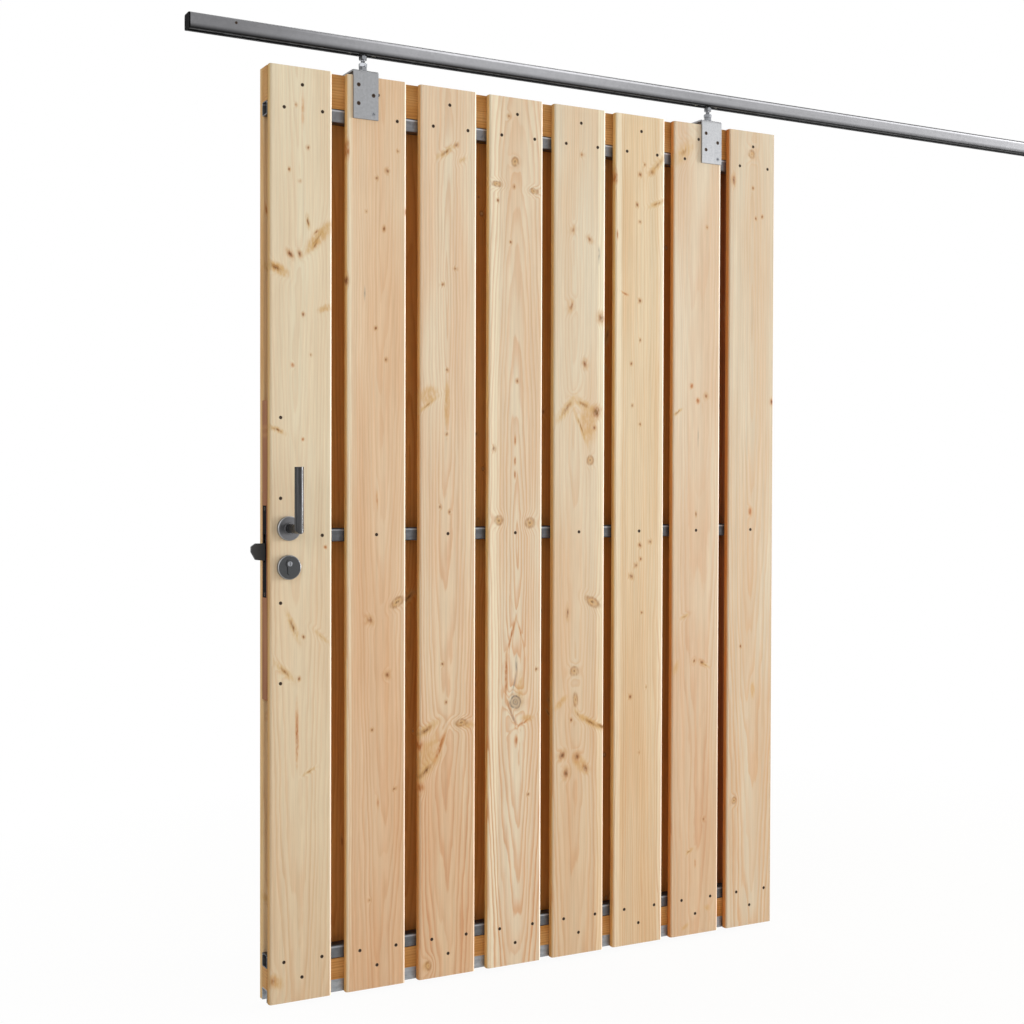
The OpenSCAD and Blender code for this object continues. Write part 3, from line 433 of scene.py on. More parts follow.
front_marks = [
    [("knot", 44, 1825, *PIN), ("knot", 88, 1876, *PIN), ("knot", 60, 1966, 4, 3, 0, 0.4),
     ("knot", 69, 1802, 4, 3, 0, 0.5), ("knot", 77, 1512, *PIN), ("resin", 53, 1399, 5, 4, 0, 0),
     ("knot", 68, 711, *PIN), ("knot", 95, 1423, 4, 3, 0, 0.5), ("resin", 76, 1238, *PIN),
     ("resin", 129, 1000, 4, 4, 0, 0), ("spike", 88, 1716, 10, 3, -10, -0.2),
     ("spike", 110, 1680, 42, 6, 38, 0.4), ("knot", 105, 1666, 8, 2, 25, -0.2),
     ("knot", 47, 1641, 9, 5, -35, 0), ("knot", 69, 1643, 7, 4, -20, 0),
     ("spike", 14, 1609, 20, 7, -61, 0), ("knot", 14, 1613, 7, 2, -60, 0),
     ("patch", 128, 1527, 20, 9, 65, 0), ("patch", 114, 1684, 50, 17, 42, 0),
     ("patch", 22, 1607, 26, 13, -65, 0), ("knot", 107, 1694, 6, 2, 40, 0.1),
     ("spike", 17, 1257, 15, 4, -66, 0), ("spike", 53, 827, 25, 5, -24, 0), ("knot", 78, 803, *PIN),
     ("spike", 120, 802, 23, 5, -49, 0.6), ("spike", 34, 729, 24, 6, -45, 0.2),
     ("resin", 63, 588, 55, 3, 0, -0.2), ("resin", 76, 1957, 44, 5, 0, 0.5),
     ("patch", 16, 48, 24, 16, -40, 0.1), ("knot", 8, 52, 10, 5, 0, 0.2),
     ("spike", 92, 505, 14, 3, 62, 0.3)],
    [("knot", 97, 1845, 5, 4, 0, 0), ("knot", 72, 1827, *PIN), ("knot", 90, 1714, 5, 3, 0, 0),
     ("knot", 70, 1490, *PIN), ("knot", 95, 1420, *PIN), ("knot", 124, 1893, 4, 3, 0, 0.2),
     ("knot", 46, 1750, 4, 3, 0, 0.5), ("resin", 143, 1757, 8, 4, 0, 0), ("eye", 124, 872, 19, 9, 58, 0),
     ("knot", 57, 834, 9, 7, -30, 0.2), ("knot", 99, 708, 8, 6, 0, 0.2), ("knot", 62, 586, *PIN),
     ("resin", 1, 1884, 18, 4, 0, -0.2), ("knot", 0, 1593, 10, 4, 0, 0),
     ("resin", 73, 1104, 23, 3, 0, 0.3), ("grey", 43, 1567, 16, 3, 0, 0.2),
     ("resin", 76, 420, 16, 3, 0, 0.2), ("knot", 117, 447, 5, 3, 45, 0.2), ("knot", 57, 201, 4, 3, 0, 0.3)],
    [("spike", 64, 1903, 18, 5, 53, 0), ("knot", 91, 1922, 5, 4, 20, 0),
     ("spike", 107, 1889, 12, 6, 60, 0.6), ("patch", 22, 1345, 28, 20, 55, 0),
     ("spike", 20, 1322, 28, 4, 52, 0.3), ("patch", 69, 1325, 60, 8, 0, 0), ("knot", 69, 1403, *PIN),
     ("knot", 69, 1256, *PIN), ("knot", 52, 1088, *PIN), ("knot", 77, 1076, *PIN), ("knot", 58, 725, *PIN),
     ("knot", 68, 637, *PIN), ("spike", 16, 575, 27, 7, 61, 0), ("resin", 54, 536, 32, 4, 22, -0.2),
     ("spike", 16, 481, 33, 8, 46, 0), ("eye", 108, 586, 8, 15, 0, 0), ("patch", 20, 520, 58, 22, 30, 0),
     ("spike", 54, 532, 26, 2, 22, 0), ("patch", 120, 580, 10, 30, 8, 0.1), ("resin", 2, 540, 14, 9, 0, 0),
     ("resin", 4, 443, 12, 8, 0, 0), ("eye", 24, 30, 12, 9, 0, 0.2), ("patch", 20, 30, 16, 14, 0, 0.2),
     ("knot", 90, 1638, 4, 4, 0, 0.2), ("knot", 58, 1599, 5, 4, 40, 0.2)],
    [("knot", 52, 2005, 6, 5, 0, 0.5), ("eye", 69, 1900, 10, 9, 0, 0), ("eye", 21, 1843, 7, 14, 0, 0.1),
     ("eye", 120, 1836, 7, 13, 0, 0.1), ("knot", 66, 1841, *PIN), ("knot", 57, 1710, 4, 3, 0, 0.1),
     ("knot", 23, 1806, *PIN), ("knot", 76, 1385, *PIN), ("knot", 14, 1223, 6, 4, 0, 0),
     ("resin", 71, 1245, 9, 2, 0, -0.2), ("resin", 71, 1196, 9, 2, 0, -0.2),
     ("resin", 71, 1163, 9, 2, 0, -0.2), ("eye", 28, 1056, 11, 11, 0, 0), ("eye", 112, 1049, 12, 12, 0, 0),
     ("knot", 130, 700, *PIN), ("knot", 109, 402, *PIN), ("resin", 63, 785, 43, 3, 16, 0),
     ("resin", 49, 690, 54, 4, 1, -0.1), ("resin", 63, 599, 39, 3, -22, 0),
     ("resin", 86, 791, 37, 2, -17, 0.2), ("grey", 76, 712, 24, 3, 0, 0), ("grey", 70, 667, 30, 3, 12, 0),
     ("swirl", 74, 624, 15, 15, 0, 0), ("grey", 66, 592, 22, 3, -24, 0.1),
     ("patch", 86, 650, 60, 16, 0, 0.2), ("patch", 106, 584, 12, 22, 0, 0.1),
     ("resin", 92, 572, 24, 3, 62, 0.1), ("resin", 76, 532, 12, 4, 0, 0)],
    [("knot", 77, 1936, 6, 6, 0, 0.5), ("knot", 53, 1753, 10, 7, 20, 0.45),
     ("knot", 48, 1570, 14, 9, 20, 0.4), ("knot", 100, 1735, 10, 7, -40, 0.4),
     ("grey", 127, 1699, 24, 4, 0, 0.2), ("knot", 134, 1546, 12, 9, 0, 0.1),
     ("knot", 88, 1433, 11, 8, 0, 0.25), ("spike", 37, 1324, 30, 8, 40, 0.1),
     ("spike", 84, 1334, 28, 8, -65, 0.2), ("knot", 120, 1317, 11, 9, 0, -0.2),
     ("spike", 76, 1280, 40, 4, -25, 0.2), ("knot", 114, 1278, 5, 4, 0, 0),
     ("eye", 103, 1200, 11, 9, 0, 0), ("patch", 97, 1288, 50, 26, -12, 0),
     ("eye", 112, 855, 22, 10, -60, 0), ("knot", 41, 833, 14, 3, 0, 0), ("eye", 60, 689, 11, 11, 0, 0),
     ("eye", 64, 620, 18, 7, 0, 0.1), ("patch", 22, 614, 26, 9, 45, 0),
     ("spike", 70, 584, 15, 4, -29, 0.2), ("spike", 108, 561, 33, 6, -61, 0.1),
     ("patch", 100, 566, 38, 8, -62, 0), ("knot", 137, 550, 10, 3, -61, -0.3), ("knot", 52, 571, *PIN),
     ("knot", 27, 488, 10, 8, 30, 0), ("knot", 69, 480, 10, 7, 0, 0), ("knot", 92, 451, 9, 7, -30, 0),
     ("knot", 38, 443, 11, 8, 10, 0), ("patch", 78, 462, 36, 18, -40, 0.1)],
    [("knot", 106, 1914, 7, 6, 40, 0), ("spike", 124, 1935, 27, 6, 41, 0.2),
     ("knot", 71, 1905, 5, 4, 0, 0), ("knot", 85, 1931, 4, 3, 0, 0.3), ("knot", 62, 1830, 5, 4, 0, 0),
     ("spike", 122, 1839, 20, 5, 66, 0.2), ("knot", 71, 1789, *PIN), ("resin", 28, 1611, 10, 3, -68, 0),
     ("resin", 6, 1753, 11, 2, 0, -0.1), ("knot", 73, 1595, 5, 4, 0, 0), ("knot", 73, 1498, *PIN),
     ("knot", 47, 1440, *PIN), ("knot", 50, 1335, *PIN), ("knot", 74, 1291, *PIN),
     ("knot", 75, 991, 5, 4, 0, 0), ("knot", 105, 1000, 5, 4, 0, 0), ("knot", 78, 957, *PIN),
     ("knot", 64, 942, 5, 4, 20, 0), ("knot", 48, 617, 5, 4, 0, 0), ("knot", 49, 914, 7, 5, -45, 0),
     ("knot", 81, 824, 3, 3, 0, 0), ("knot", 95, 638, 4, 3, 0, 0.3), ("knot", 75, 475, 4, 3, 0, 0.5),
     ("resin", 1, 1892, 14, 4, 0, -0.1)],
    [("spike", 30, 1975, 40, 16, 45, 0.5), ("knot", 102, 1794, 4, 3, 0, 0.4),
     ("resin", 58, 1390, 6, 5, 0, -0.1), ("resin", 76, 1353, 7, 5, 0, -0.1),
     ("knot", 101, 1366, 8, 6, 0, 0.3), ("spike", 14, 1322, 12, 3, 54, 0),
     ("grey", 77, 1262, 28, 3, 0, 0.3), ("knot", 72, 1067, 6, 2, 0, 0), ("knot", 68, 696, 6, 4, 20, 0.2),
     ("knot", 93, 690, 7, 4, -40, 0), ("spike", 38, 808, 11, 4, 60, 0.3),
     ("spike", 103, 682, 10, 3, -60, 0.3), ("patch", 12, 680, 30, 10, 20, 0.3),
     ("knot", 100, 290, 5, 4, 0, 0.2), ("spike", 55, 211, 10, 3, 60, 0.2), ("resin", 74, 180, 9, 2, 0, 0),
     ("patch", 113, 62, 14, 10, -60, 0.2), ("patch", 45, 22, 18, 8, 60, 0.2)],
    [("eye", 71, 1993, 13, 12, 0, 0.2), ("knot", 14, 1921, 12, 5, 0, 0), ("knot", 75, 1906, *PIN),
     ("knot", 85, 1828, *PIN), ("knot", 105, 1834, *PIN), ("knot", 139, 1357, 8, 5, 0, 0),
     ("resin", 71, 1073, 10, 5, 0, -0.1), ("knot", 43, 726, *PIN), ("patch", 82, 610, 26, 7, 0, 0),
     ("eye", 24, 327, 9, 8, 0, 0)],
]
for i, (look, marks) in enumerate(zip(front_looks, front_marks), 1):
    board = f"front_board_{i}"
    dress(fir(f"planed_fir_{i}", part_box(board)[0], look, marks, i), board)
print("front boards:", len(front_looks), "with", sum(map(len, front_marks)), "marks")

# %% [markdown]
# ## Rear boards, laths and lock block
# The layer behind is the same wood, browner. Its faces toward the gaps are painted amber, as
# shade. It shows through the gaps and as the whole back of the door. Its knots are strewn by a
# seeded draw, so that each run gives the same boards.

# %% Rear boards and core pieces
# browner wood, with painted shade: amber on the faces toward the gaps, darker on board 8, and a faint warm
# tint on the sides and back of the two outer boards
EVEN = dict(contrast=(0.5, 0.5), sap=[], foot="#ffffff")
BROWN = dict(EVEN, pale="#e6cca4", warm="#deba8c", late="#c08f5c")
TO_GAP, IN_SHADE, TO_SIDE = ("#f4be74", 2.5, 0.3), ("#b4783c", 2.5, 0.3), ("#fff4dc", 0.3, 2.5)
# honey-coloured laths and a red-brown lock block: a darker, warmer colour that is painted shade, as the gaps
# and the cavity show them
SAME_ALL_THROUGH = ("#ffffff", 0.0, 9.0)
AMBER = dict(EVEN, pale="#d0a064", warm="#c48d4c", late="#9a6232", shade_tint=SAME_ALL_THROUGH)
RUSSET = dict(EVEN, pale="#a87450", warm="#96603e", late="#7a4a2c", shade_tint=SAME_ALL_THROUGH)
KNOTS_EACH = 9
chance = random.Random(11)


def strewn(width, height, count):
    """Pin knots and a few spikes over a board of that size in mm."""
    marks = []
    for _ in range(count):
        size = chance.uniform(3, 7)
        kind = chance.choice(["knot", "knot", "eye", "spike", "resin"])
        stretch = {"spike": 4.0, "resin": 5.0}.get(kind, 1.2)
        tilt = chance.uniform(-55, 55) if kind == "spike" else chance.uniform(-8, 8)
        place = chance.uniform(0.1, 0.9) * width, chance.uniform(0.04, 0.96) * height
        marks.append((kind, *place, size * stretch, size, tilt, chance.uniform(0, 0.3)))
    return marks


for j in range(1, 10):
    board = f"rear_board_{j}"
    low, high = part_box(board)
    size = (high - low) / MM
    look = dict(BROWN, heart=(size.x * chance.uniform(0.3, 0.7), chance.uniform(30, 60)),
                lean=chance.uniform(-0.05, -0.02), ring=chance.uniform(6.0, 8.0))
    # painted shade for each rear board: amber toward the gaps, darker on board 8
    look["shade_tint"] = {1: TO_SIDE, 8: IN_SHADE, 9: TO_SIDE}.get(j, TO_GAP)
    dress(fir(f"fir_painted_shade_{j}", low, look, strewn(size.x, size.z, KNOTS_EACH), 20 + j), board)
block_look = dict(RUSSET, heart=(40, 55), lean=0.0, ring=6)
block_marks = [("knot", 4, 590, 8, 6, 0, 0)]
dress(fir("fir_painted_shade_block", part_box("lock_block")[0], block_look, block_marks, 31), "lock_block")
print("rear boards and lock block dressed")

# %% The two laths, whose grain runs along X
lath_look = dict(AMBER, heart=(30, 40), lean=0.0, ring=6)
for name, seed in (("top_lath", 33), ("bottom_lath", 34)):
    dress(fir(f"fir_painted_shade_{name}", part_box(name)[0], lath_look, [], seed, lying=True), name)
print("laths dressed")

# %% [markdown]
# ## Galvanised steel
# The rail, the tubes and the guide channel are rolled strip with a zinc coat. Zinc freezes into
# leaf-like crystals some 8 mm across, which differ a little in brightness and gloss, and the rolls
# leave faint lines along the length.

# %% Zinc finishes
ROLL_WIDTH, ROLL_LENGTH = 4 * MM, 300 * MM
CLOUD = 60 * MM
BAND_RUN = 0.4  # length in metres over which a painted band sets in


def zinc(name, code, crystal_mm, along, gloss, spread=0.25, painted_bands=()):
    """Hot-dipped zinc with crystals of that size and roll lines along an axis (0 is X, 2 is Z).

    Painted bands of light and shade are a row of heights: where a band begins, where it is full,
    how much of the shade is left there, and the X from which on it is seen, if not all along."""
    finish, tree, shader = blank(name)
    place = add(tree, "TexCoord").outputs["Object"]
    crystals = add(tree, "TexVoronoi", {"Vector": place, "Scale": 1 / (crystal_mm * MM)})
    spangle = add(tree, "SeparateXYZ", {0: crystals.outputs["Color"]})
    pull = [1 / ROLL_WIDTH] * 3
    pull[along] = 1 / ROLL_LENGTH
    rolled = add(tree, "VectorMath", {0: place, 1: pull}, operation="MULTIPLY")
    lines = add(tree, "TexNoise", {"Vector": rolled, "Scale": 1.0, "Detail": 3.0})
    cloud = add(tree, "TexNoise", {"Vector": place, "Scale": 1 / CLOUD, "Detail": 3.0})
    shade = add(tree, "Math", {0: spangle.outputs["X"], 1: 0.35, 2: lines}, operation="MULTIPLY_ADD")
    shade = add(tree, "Math", {0: cloud, 1: 0.6, 2: shade}, operation="MULTIPLY_ADD")
    shade = add(tree, "MapRange", {"Value": shade, "From Min": 0.6, "From Max": 1.35,
                                   "To Min": 1 - spread, "To Max": 1 + spread / 2})
    spot = add(tree, "SeparateXYZ", {0: place})
    # painted light and shade in bands by height
    for begins, full, left, since in painted_bands:
        band_factor = add(tree, "MapRange", {"Value": spot.outputs["Z"], "From Min": begins, "From Max": full,
                                      "To Min": 1.0, "To Max": left}, **SMOOTH)
        if since is not None:
            length = add(tree, "MapRange", {"Value": spot, "From Min": since, "From Max": since + BAND_RUN})
            band_factor = add(tree, "Mix", {"Factor": length, "A": 1.0, "B": band_factor})
        shade = add(tree, "Math", {0: shade, 1: band_factor}, operation="MULTIPLY")
    colour = add(tree, "Mix", {"Factor": 1.0, "A": tone(code), "B": shade}, **GLAZE)
    rough = add(tree, "MapRange", {"Value": spangle.outputs["Y"],
                                   "To Min": gloss - 0.06, "To Max": gloss + 0.08})
    bump = add(tree, "Bump", {"Strength": 0.12, "Distance": 0.2 * MM, "Height": lines})
    shader.inputs["Metallic"].default_value = 1.0
    feed(tree, shader, Base_Color=colour, Roughness=rough, Normal=bump)
    return finish


# rolled and dipped: a mid-grey with faint crystals, blackened below by painted shade, lighter over the leaf
# by painted light, and with a painted highlight along its upper edge
rail_painted_bands = [
    (-21.5 * MM, -34 * MM, 0.06, None),  # painted shade on the lower corners
    (1 * MM, 0.5 * MM, 1.7, -1.4),       # painted light over the leaf
    (1 * MM, 0.5 * MM, 0.75, -0.6),      # less of that painted light past the leaf's middle
    (-9 * MM, -6.5 * MM, 1.9, -1.3),     # painted highlight along the upper edge
    (-4.5 * MM, -2.5 * MM, 0.12, -1.4),  # darker top corners
]
dress(zinc("galvanised_rail", "#78787a", 8, 0, 0.5, 0.10, rail_painted_bands), "rail")
# tubes in the shade of the boards: a dark grey that is painted shade, darkest on the middle tube, a painted
# highlight under the upper corner, and painted shade along the top
for tube, code in (("top_tube", "#7a7b7e"), ("middle_tube", "#5f6063"), ("bottom_tube", "#6a6c6f")):
    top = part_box(tube)[1].z
    tube_painted_bands = [(top - 7 * MM, top - 5 * MM, 2.4, None), (top - 3.5 * MM, top - 2 * MM, 0.3, None)]
    dress(zinc(f"galvanised_{tube}", code, 8, 0, 0.5, 0.25, tube_painted_bands), tube)
# open to daylight and to the floor: a pale grey that is painted light, with clear crystals
dress(zinc("galvanised_channel", "#a0a3a6", 8, 0, 0.5), "guide_channel")
# bent plate: even, pale grey, with hardly a crystal
dress(zinc("dull_zinc_bracket", "#939496", 5, 2, 0.55, 0.07), "hanger_left_bracket")
# the right bracket's paler grey is painted light
dress(zinc("zinc_bracket_painted_lighter", "#a3a4a6", 3, 2, 0.55, 0.12), "hanger_right_bracket")
# thin plating on small parts out of sight: brighter and smoother
dress(zinc("plated_trolley", "#a9acae", 4, 0, 0.4), "carriage_left", "carriage_right")
dress(zinc("plated_stop", "#7d7f81", 4, 0, 0.45), "stop_blocks")
dress(zinc("lock_case_plate", "#8d9092", 3, 2, 0.4), "lock_case", "lock_cover", "lock_cam")
print("zinc finishes made")

# %% [markdown]
# ## Turned, blackened and moulded finishes
# Small parts share a few finishes: bright plated steel, dark phosphated screws, brass, black
# lacquer, satin steel, and moulded plastic, rubber and nylon. Each has a fine grain in its colour
# and its gloss, at the size that its making leaves.

# %% Small-part finishes
RIM_INNER, RIM_OUTER = 2.4 * MM, 1.0 * MM  # where the painted highlight of a rim begins and is full, from its edge
STRETCH = 25


def grained(name, code, grain_mm, gloss, metallic=0.0, spread=0.2, stretch=None, bump_mm=0.05, disc=None):
    """A finish with a fine grain of that size; stretch pulls the grain along an axis.

    A disc is a round CAD node whose rim gets a painted highlight."""
    finish, tree, shader = blank(name)
    place = add(tree, "TexCoord").outputs["Object"]
    pull = [1 / (grain_mm * MM)] * 3
    if stretch is not None:
        pull[stretch] /= STRETCH
    fine = add(tree, "VectorMath", {0: place, 1: pull}, operation="MULTIPLY")
    grain = add(tree, "TexNoise", {"Vector": fine, "Scale": 1.0, "Detail": 3.0})
    shade = add(tree, "MapRange", {"Value": grain, "From Min": 0.25, "From Max": 0.75,
                                   "To Min": 1 - spread, "To Max": 1 + spread / 2})
    colour = add(tree, "Mix", {"Factor": 1.0, "A": tone(code), "B": shade}, **GLAZE)
    # a painted highlight round a disc's rim
    if disc:
        low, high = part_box(disc)
        off = add(tree, "VectorMath", {0: place, 1: (low + high) / 2}, operation="SUBTRACT")
        off = add(tree, "VectorMath", {0: off, 1: (1.0, 0.0, 1.0)}, operation="MULTIPLY")
        away = add(tree, "VectorMath", {0: off}, operation="LENGTH")
        reach = (high.x - low.x) / 2
        rim_highlight = add(tree, "MapRange", {"Value": away, "From Min": reach - RIM_INNER,
                                     "From Max": reach - RIM_OUTER, "To Max": 0.8})
        colour = add(tree, "Mix", {"Factor": rim_highlight, "A": colour, "B": tone("#a6a7a9")}, **PAINT)
    rough = add(tree, "MapRange", {"Value": grain, "From Min": 0.25, "From Max": 0.75,
                                   "To Min": gloss - 0.05, "To Max": gloss + 0.07})
    bump = add(tree, "Bump", {"Strength": 0.2, "Distance": bump_mm * MM, "Height": grain})
    shader.inputs["Metallic"].default_value = metallic
    feed(tree, shader, Base_Color=colour, Roughness=rough, Normal=bump)
    return finish


# zinc plate, tumbled smooth: pale, with soft bright highlights
bright_zinc = grained("bright_plated_steel", "#8f9195", 2, 0.3, 1.0)
# phosphate under oil: brown-black heads with a faint gleam
dark_screw = grained("phosphated_screw", "#4a3e36", 1.5, 0.5, 1.0)
# dark steel brushed along the grip: one long, streaked highlight
satin_steel = grained("satin_dark_steel", "#464647", 5, 0.26, 1.0, spread=0.7, stretch=2, bump_mm=0.02)
# the same steel pressed to discs: mid-grey, the rose paler as painted light against the lever's shadow, and
# a painted highlight round each rim
satin_rose = grained("satin_rose_steel", "#68686a", 1.2, 0.36, 1.0, disc="roses")
satin_cover = grained("satin_escutcheon_steel", "#474849", 1.2, 0.36, 1.0, disc="escutcheons")
# forged and oiled: nearly black, with a dull sheen
hook_steel = grained("oiled_black_steel", "#2d2d2e", 2, 0.6)
# thick matt lacquer: the darkest thing on the door
black_lacquer = grained("black_lacquered_steel", "#080505", 2, 0.6)
# turned brass inside the case: yellow and half bright
brass = grained("machined_brass", "#b3924f", 1.5, 0.35, 1.0)
# moulded with a fine texture: black and dull
cap_plastic = grained("black_moulded_plastic", "#060606", 0.8, 0.6)
# these two hardly mirror the white studio
for matt in (black_lacquer, cap_plastic):
    matt.node_tree.nodes["Principled BSDF"].inputs["Specular IOR Level"].default_value = 0.03
# soft rubber: dark grey without a gleam
rubber = grained("black_rubber", "#1d1c1b", 1.5, 0.8)
# natural nylon: milky, with a waxy sheen
nylon = grained("natural_nylon", "#e6e2d6", 2, 0.45, spread=0.06)

dress(bright_zinc, "hanger_bolts", "hanger_nuts", "hanger_washers", "axles", "hook_pin", "spindle",
      "key_plug")
dress(dark_screw, "stop_screws", "forend_screws", "front_screws", "rear_screws", "hanger_screws")
dress(satin_steel, "front_lever", "rear_lever")
dress(satin_rose, "roses")
dress(satin_cover, "escutcheons", "key_cylinder")
dress(hook_steel, "hook")
dress(black_lacquer, "forend")
dress(brass, "follower")
dress(cap_plastic, "end_caps")
dress(rubber, "stop_buffers")
dress(nylon, "wheels_left_outer", "wheels_left_inner", "wheels_right_inner", "wheels_right_outer")
print("small finishes made")

# %% [markdown]
# ## Countersunk screws
# The leaf is held by countersunk wood screws with a six-lobed recess. A solid model leaves their
# heads plain. One screw is modelled as by hand: a short cylinder whose lower face is drawn out into
# the cone, the shank and the point, and whose upper face is inset, pulled into lobes and sunk. The
# places come from the solids of the CAD node that the screws stand for.

# %% Helpers for modelling
FRONT = Matrix.Rotation(math.radians(90), 4, "X")
REAR = Matrix.Rotation(math.radians(-90), 4, "X")
LEFT = Matrix.Rotation(math.radians(-90), 4, "Y")
UP = Matrix.Identity(4)
WELD = 0.001 * MM


def alone(thing):
    """Makes one object the only selected and the active one."""
    bpy.ops.object.select_all(action="DESELECT")
    thing.select_set(True)
    bpy.context.view_layer.objects.active = thing


def pick(kind, test):
    """In edit mode, selects the vertices or faces for which the test holds."""
    bpy.ops.object.mode_set(mode="EDIT")
    bpy.ops.mesh.select_mode(type=kind)
    bpy.ops.mesh.select_all(action="DESELECT")
    shape = bmesh.from_edit_mesh(bpy.context.object.data)
    for part in {"VERT": shape.verts, "FACE": shape.faces}[kind]:
        part.select_set(bool(test(part)))
    shape.select_flush_mode()
    bmesh.update_edit_mesh(bpy.context.object.data)


def draw_out(depth, ratio=1.0):
    """Extrudes the selected face along Z by a depth and scales it about the axis."""
    bpy.ops.mesh.extrude_region_move(TRANSFORM_OT_translate={"value": (0, 0, depth)})
    bpy.ops.transform.resize(value=(ratio, ratio, 1), center_override=(0, 0, 0))


def seats(node):
    """The lowest and the highest corner of each solid of a CAD node, from left to right and upwards."""
    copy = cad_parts[node].copy()
    copy.data = copy.data.copy()
    bpy.context.scene.collection.objects.link(copy)
    alone(copy)
    bpy.ops.object.mode_set(mode="EDIT")
    bpy.ops.mesh.select_all(action="SELECT")
    bpy.ops.mesh.remove_doubles(threshold=WELD)
    bpy.ops.mesh.separate(type="LOOSE")
    bpy.ops.object.mode_set(mode="OBJECT")
    found = []
    for solid in bpy.context.selected_objects:
        spots = [v.co for v in solid.data.vertices]
        found.append((Vector(map(min, *spots)), Vector(map(max, *spots))))
    bpy.ops.object.delete()
    return sorted(found, key=lambda box: (round(box[0].x, 4), box[0].z))


def set_out(model, name, places, finish):
    """Joins copies of a model at places, each a point and a turn, into one piece at the origin."""
    copies = []
    for point, turn in places:
        copy = model.copy()
        copy.data = model.data.copy()
        copy.matrix_world = Matrix.Translation(point) @ turn
        bpy.context.scene.collection.objects.link(copy)
        copies.append(copy)
    alone(copies[0])
    for copy in copies:
        copy.select_set(True)
    bpy.ops.object.join()
    bpy.ops.object.transform_apply(location=True, rotation=True, scale=True)
    piece = bpy.context.object
    piece.name = name
    piece.data.materials.clear()
    piece.data.materials.append(finish)
    print(name, len(copies), "copies,", len(piece.data.polygons), "faces")
    return piece


print("helpers ready")

# %% One screw
SUNK = 0.4 * MM
RIM = 0.5 * MM
LOBE_IN, LOBE_SIDE = 0.72, 0.88
HEAD_SIDES, LOBE_SIDES = 24, 4
INSET, RING = 0.22, 0.28  # inset and radius of the recess, as shares of the head's width
RECESS = 0.6              # depth of the recess, as a share of the cone's
TIP = 0.12                # width of the point, as a share of the shank's


def star_screw(head, cone, shank, length):
    """A countersunk screw along -Z with its face at the origin, all sizes in metres."""
    bpy.ops.object.select_all(action="DESELECT")
    bpy.ops.mesh.primitive_cylinder_add(vertices=HEAD_SIDES, radius=head / 2, depth=RIM,
                                        location=(0, 0, -RIM / 2))
    screw = bpy.context.object
    bpy.ops.object.transform_apply(location=True)
    pick("FACE", lambda f: f.normal.z < -0.9)
    draw_out(RIM - cone, shank / head)
    draw_out(cone + shank - length)
    draw_out(-shank, TIP)
    pick("FACE", lambda f: f.normal.z > 0.9)
    bpy.ops.mesh.inset(thickness=head * INSET)
    ring = head * RING
    for step, ratio in ((2, LOBE_IN), (1, LOBE_SIDE), (3, LOBE_SIDE)):
        pick("VERT", lambda v: v.co.z > -0.01 * MM and v.co.xy.length < ring * 1.1
             and round(math.degrees(math.atan2(v.co.y, v.co.x)) / (360 / HEAD_SIDES)) % LOBE_SIDES == step)
        bpy.ops.transform.resize(value=(ratio, ratio, 1), center_override=(0, 0, 0))
    pick("FACE", lambda f: f.normal.z > 0.9 and f.calc_center_median().xy.length < 0.1 * MM)
    draw_out(-RECESS * cone, 0.9)
    bpy.ops.object.mode_set(mode="OBJECT")
    bpy.ops.object.shade_smooth_by_angle(angle=math.radians(35))
    return screw


wood_screw = star_screw(8 * MM, 3.5 * MM, 4.5 * MM, 30 * MM)
plate_screw = star_screw(9 * MM, 3 * MM, 6 * MM, 34 * MM)
forend_screw = star_screw(8 * MM, 3.5 * MM, 4.5 * MM, 26 * MM)
set_screw = star_screw(6 * MM, 2 * MM, 5.8 * MM, 12 * MM)
print("a wood screw has", len(wood_screw.data.polygons), "faces")

# %% Screws at their seats


def heads(node, turn, axis=1, sunk=0.0, far=False):
    """Places for the screws of a CAD node, whose faces lie at one end of their seats along an axis."""
    places = []
    for low, high in seats(node):
        place = (low + high) / 2
        place[axis] = high[axis] - sunk if far else low[axis] + sunk
        places.append((place, turn))
    return places


fronts = heads("front_screws", FRONT, sunk=SUNK)
rears = heads("rear_screws", REAR, sunk=SUNK, far=True)
plates = heads("hanger_screws", FRONT)
edges = heads("forend_screws", LEFT, axis=0)
stops = heads("stop_screws", FRONT)
lowest = min(point.z for point, turn in plates)
shiny = [place for place in plates if place[0].z < lowest + MM]
dull = [place for place in plates if place not in shiny]
for model, name, places, finish, node, body, slot in (
        (wood_screw, "front_star_screws", fronts, dark_screw, "front_screws", "leaf", "dark_screw"),
        (wood_screw, "rear_star_screws", rears, dark_screw, "rear_screws", "leaf", "dark_screw"),
        (plate_screw, "hanger_star_screws", dull, dark_screw, "hanger_screws", "leaf", "dark_screw"),
        (plate_screw, "hanger_bright_screws", shiny, bright_zinc, "hanger_screws", "leaf", "dark_screw"),
        (forend_screw, "forend_star_screws", edges, dark_screw, "forend_screws", "leaf", "bright_fastener"),
        (set_screw, "stop_set_screws", stops, dark_screw, "stop_screws", "track", "dark_screw")):
    piece = set_out(model, name, places, finish)
    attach(piece, body)
    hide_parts(node)
for model in (wood_screw, plate_screw, forend_screw, set_screw):
    bpy.data.objects.remove(model)

# %% [markdown]
# ## Threaded hanger bolts and their nuts
# The leaf hangs on two threaded bars. Turning the nuts sets its height, so the thread is what one sees
# between the rail and the bracket. A thread is a triangle swept along a helix, which the Screw
# modifier does, round a core of its inner diameter. A nut is a hexagon whose corners a cone has turned
# off, with a bore.

# %% Hexagons
AF = 17 * MM
BOLT = 10 * MM
TURNED = 0.47  # radius of the turned face, as a share of the width across flats


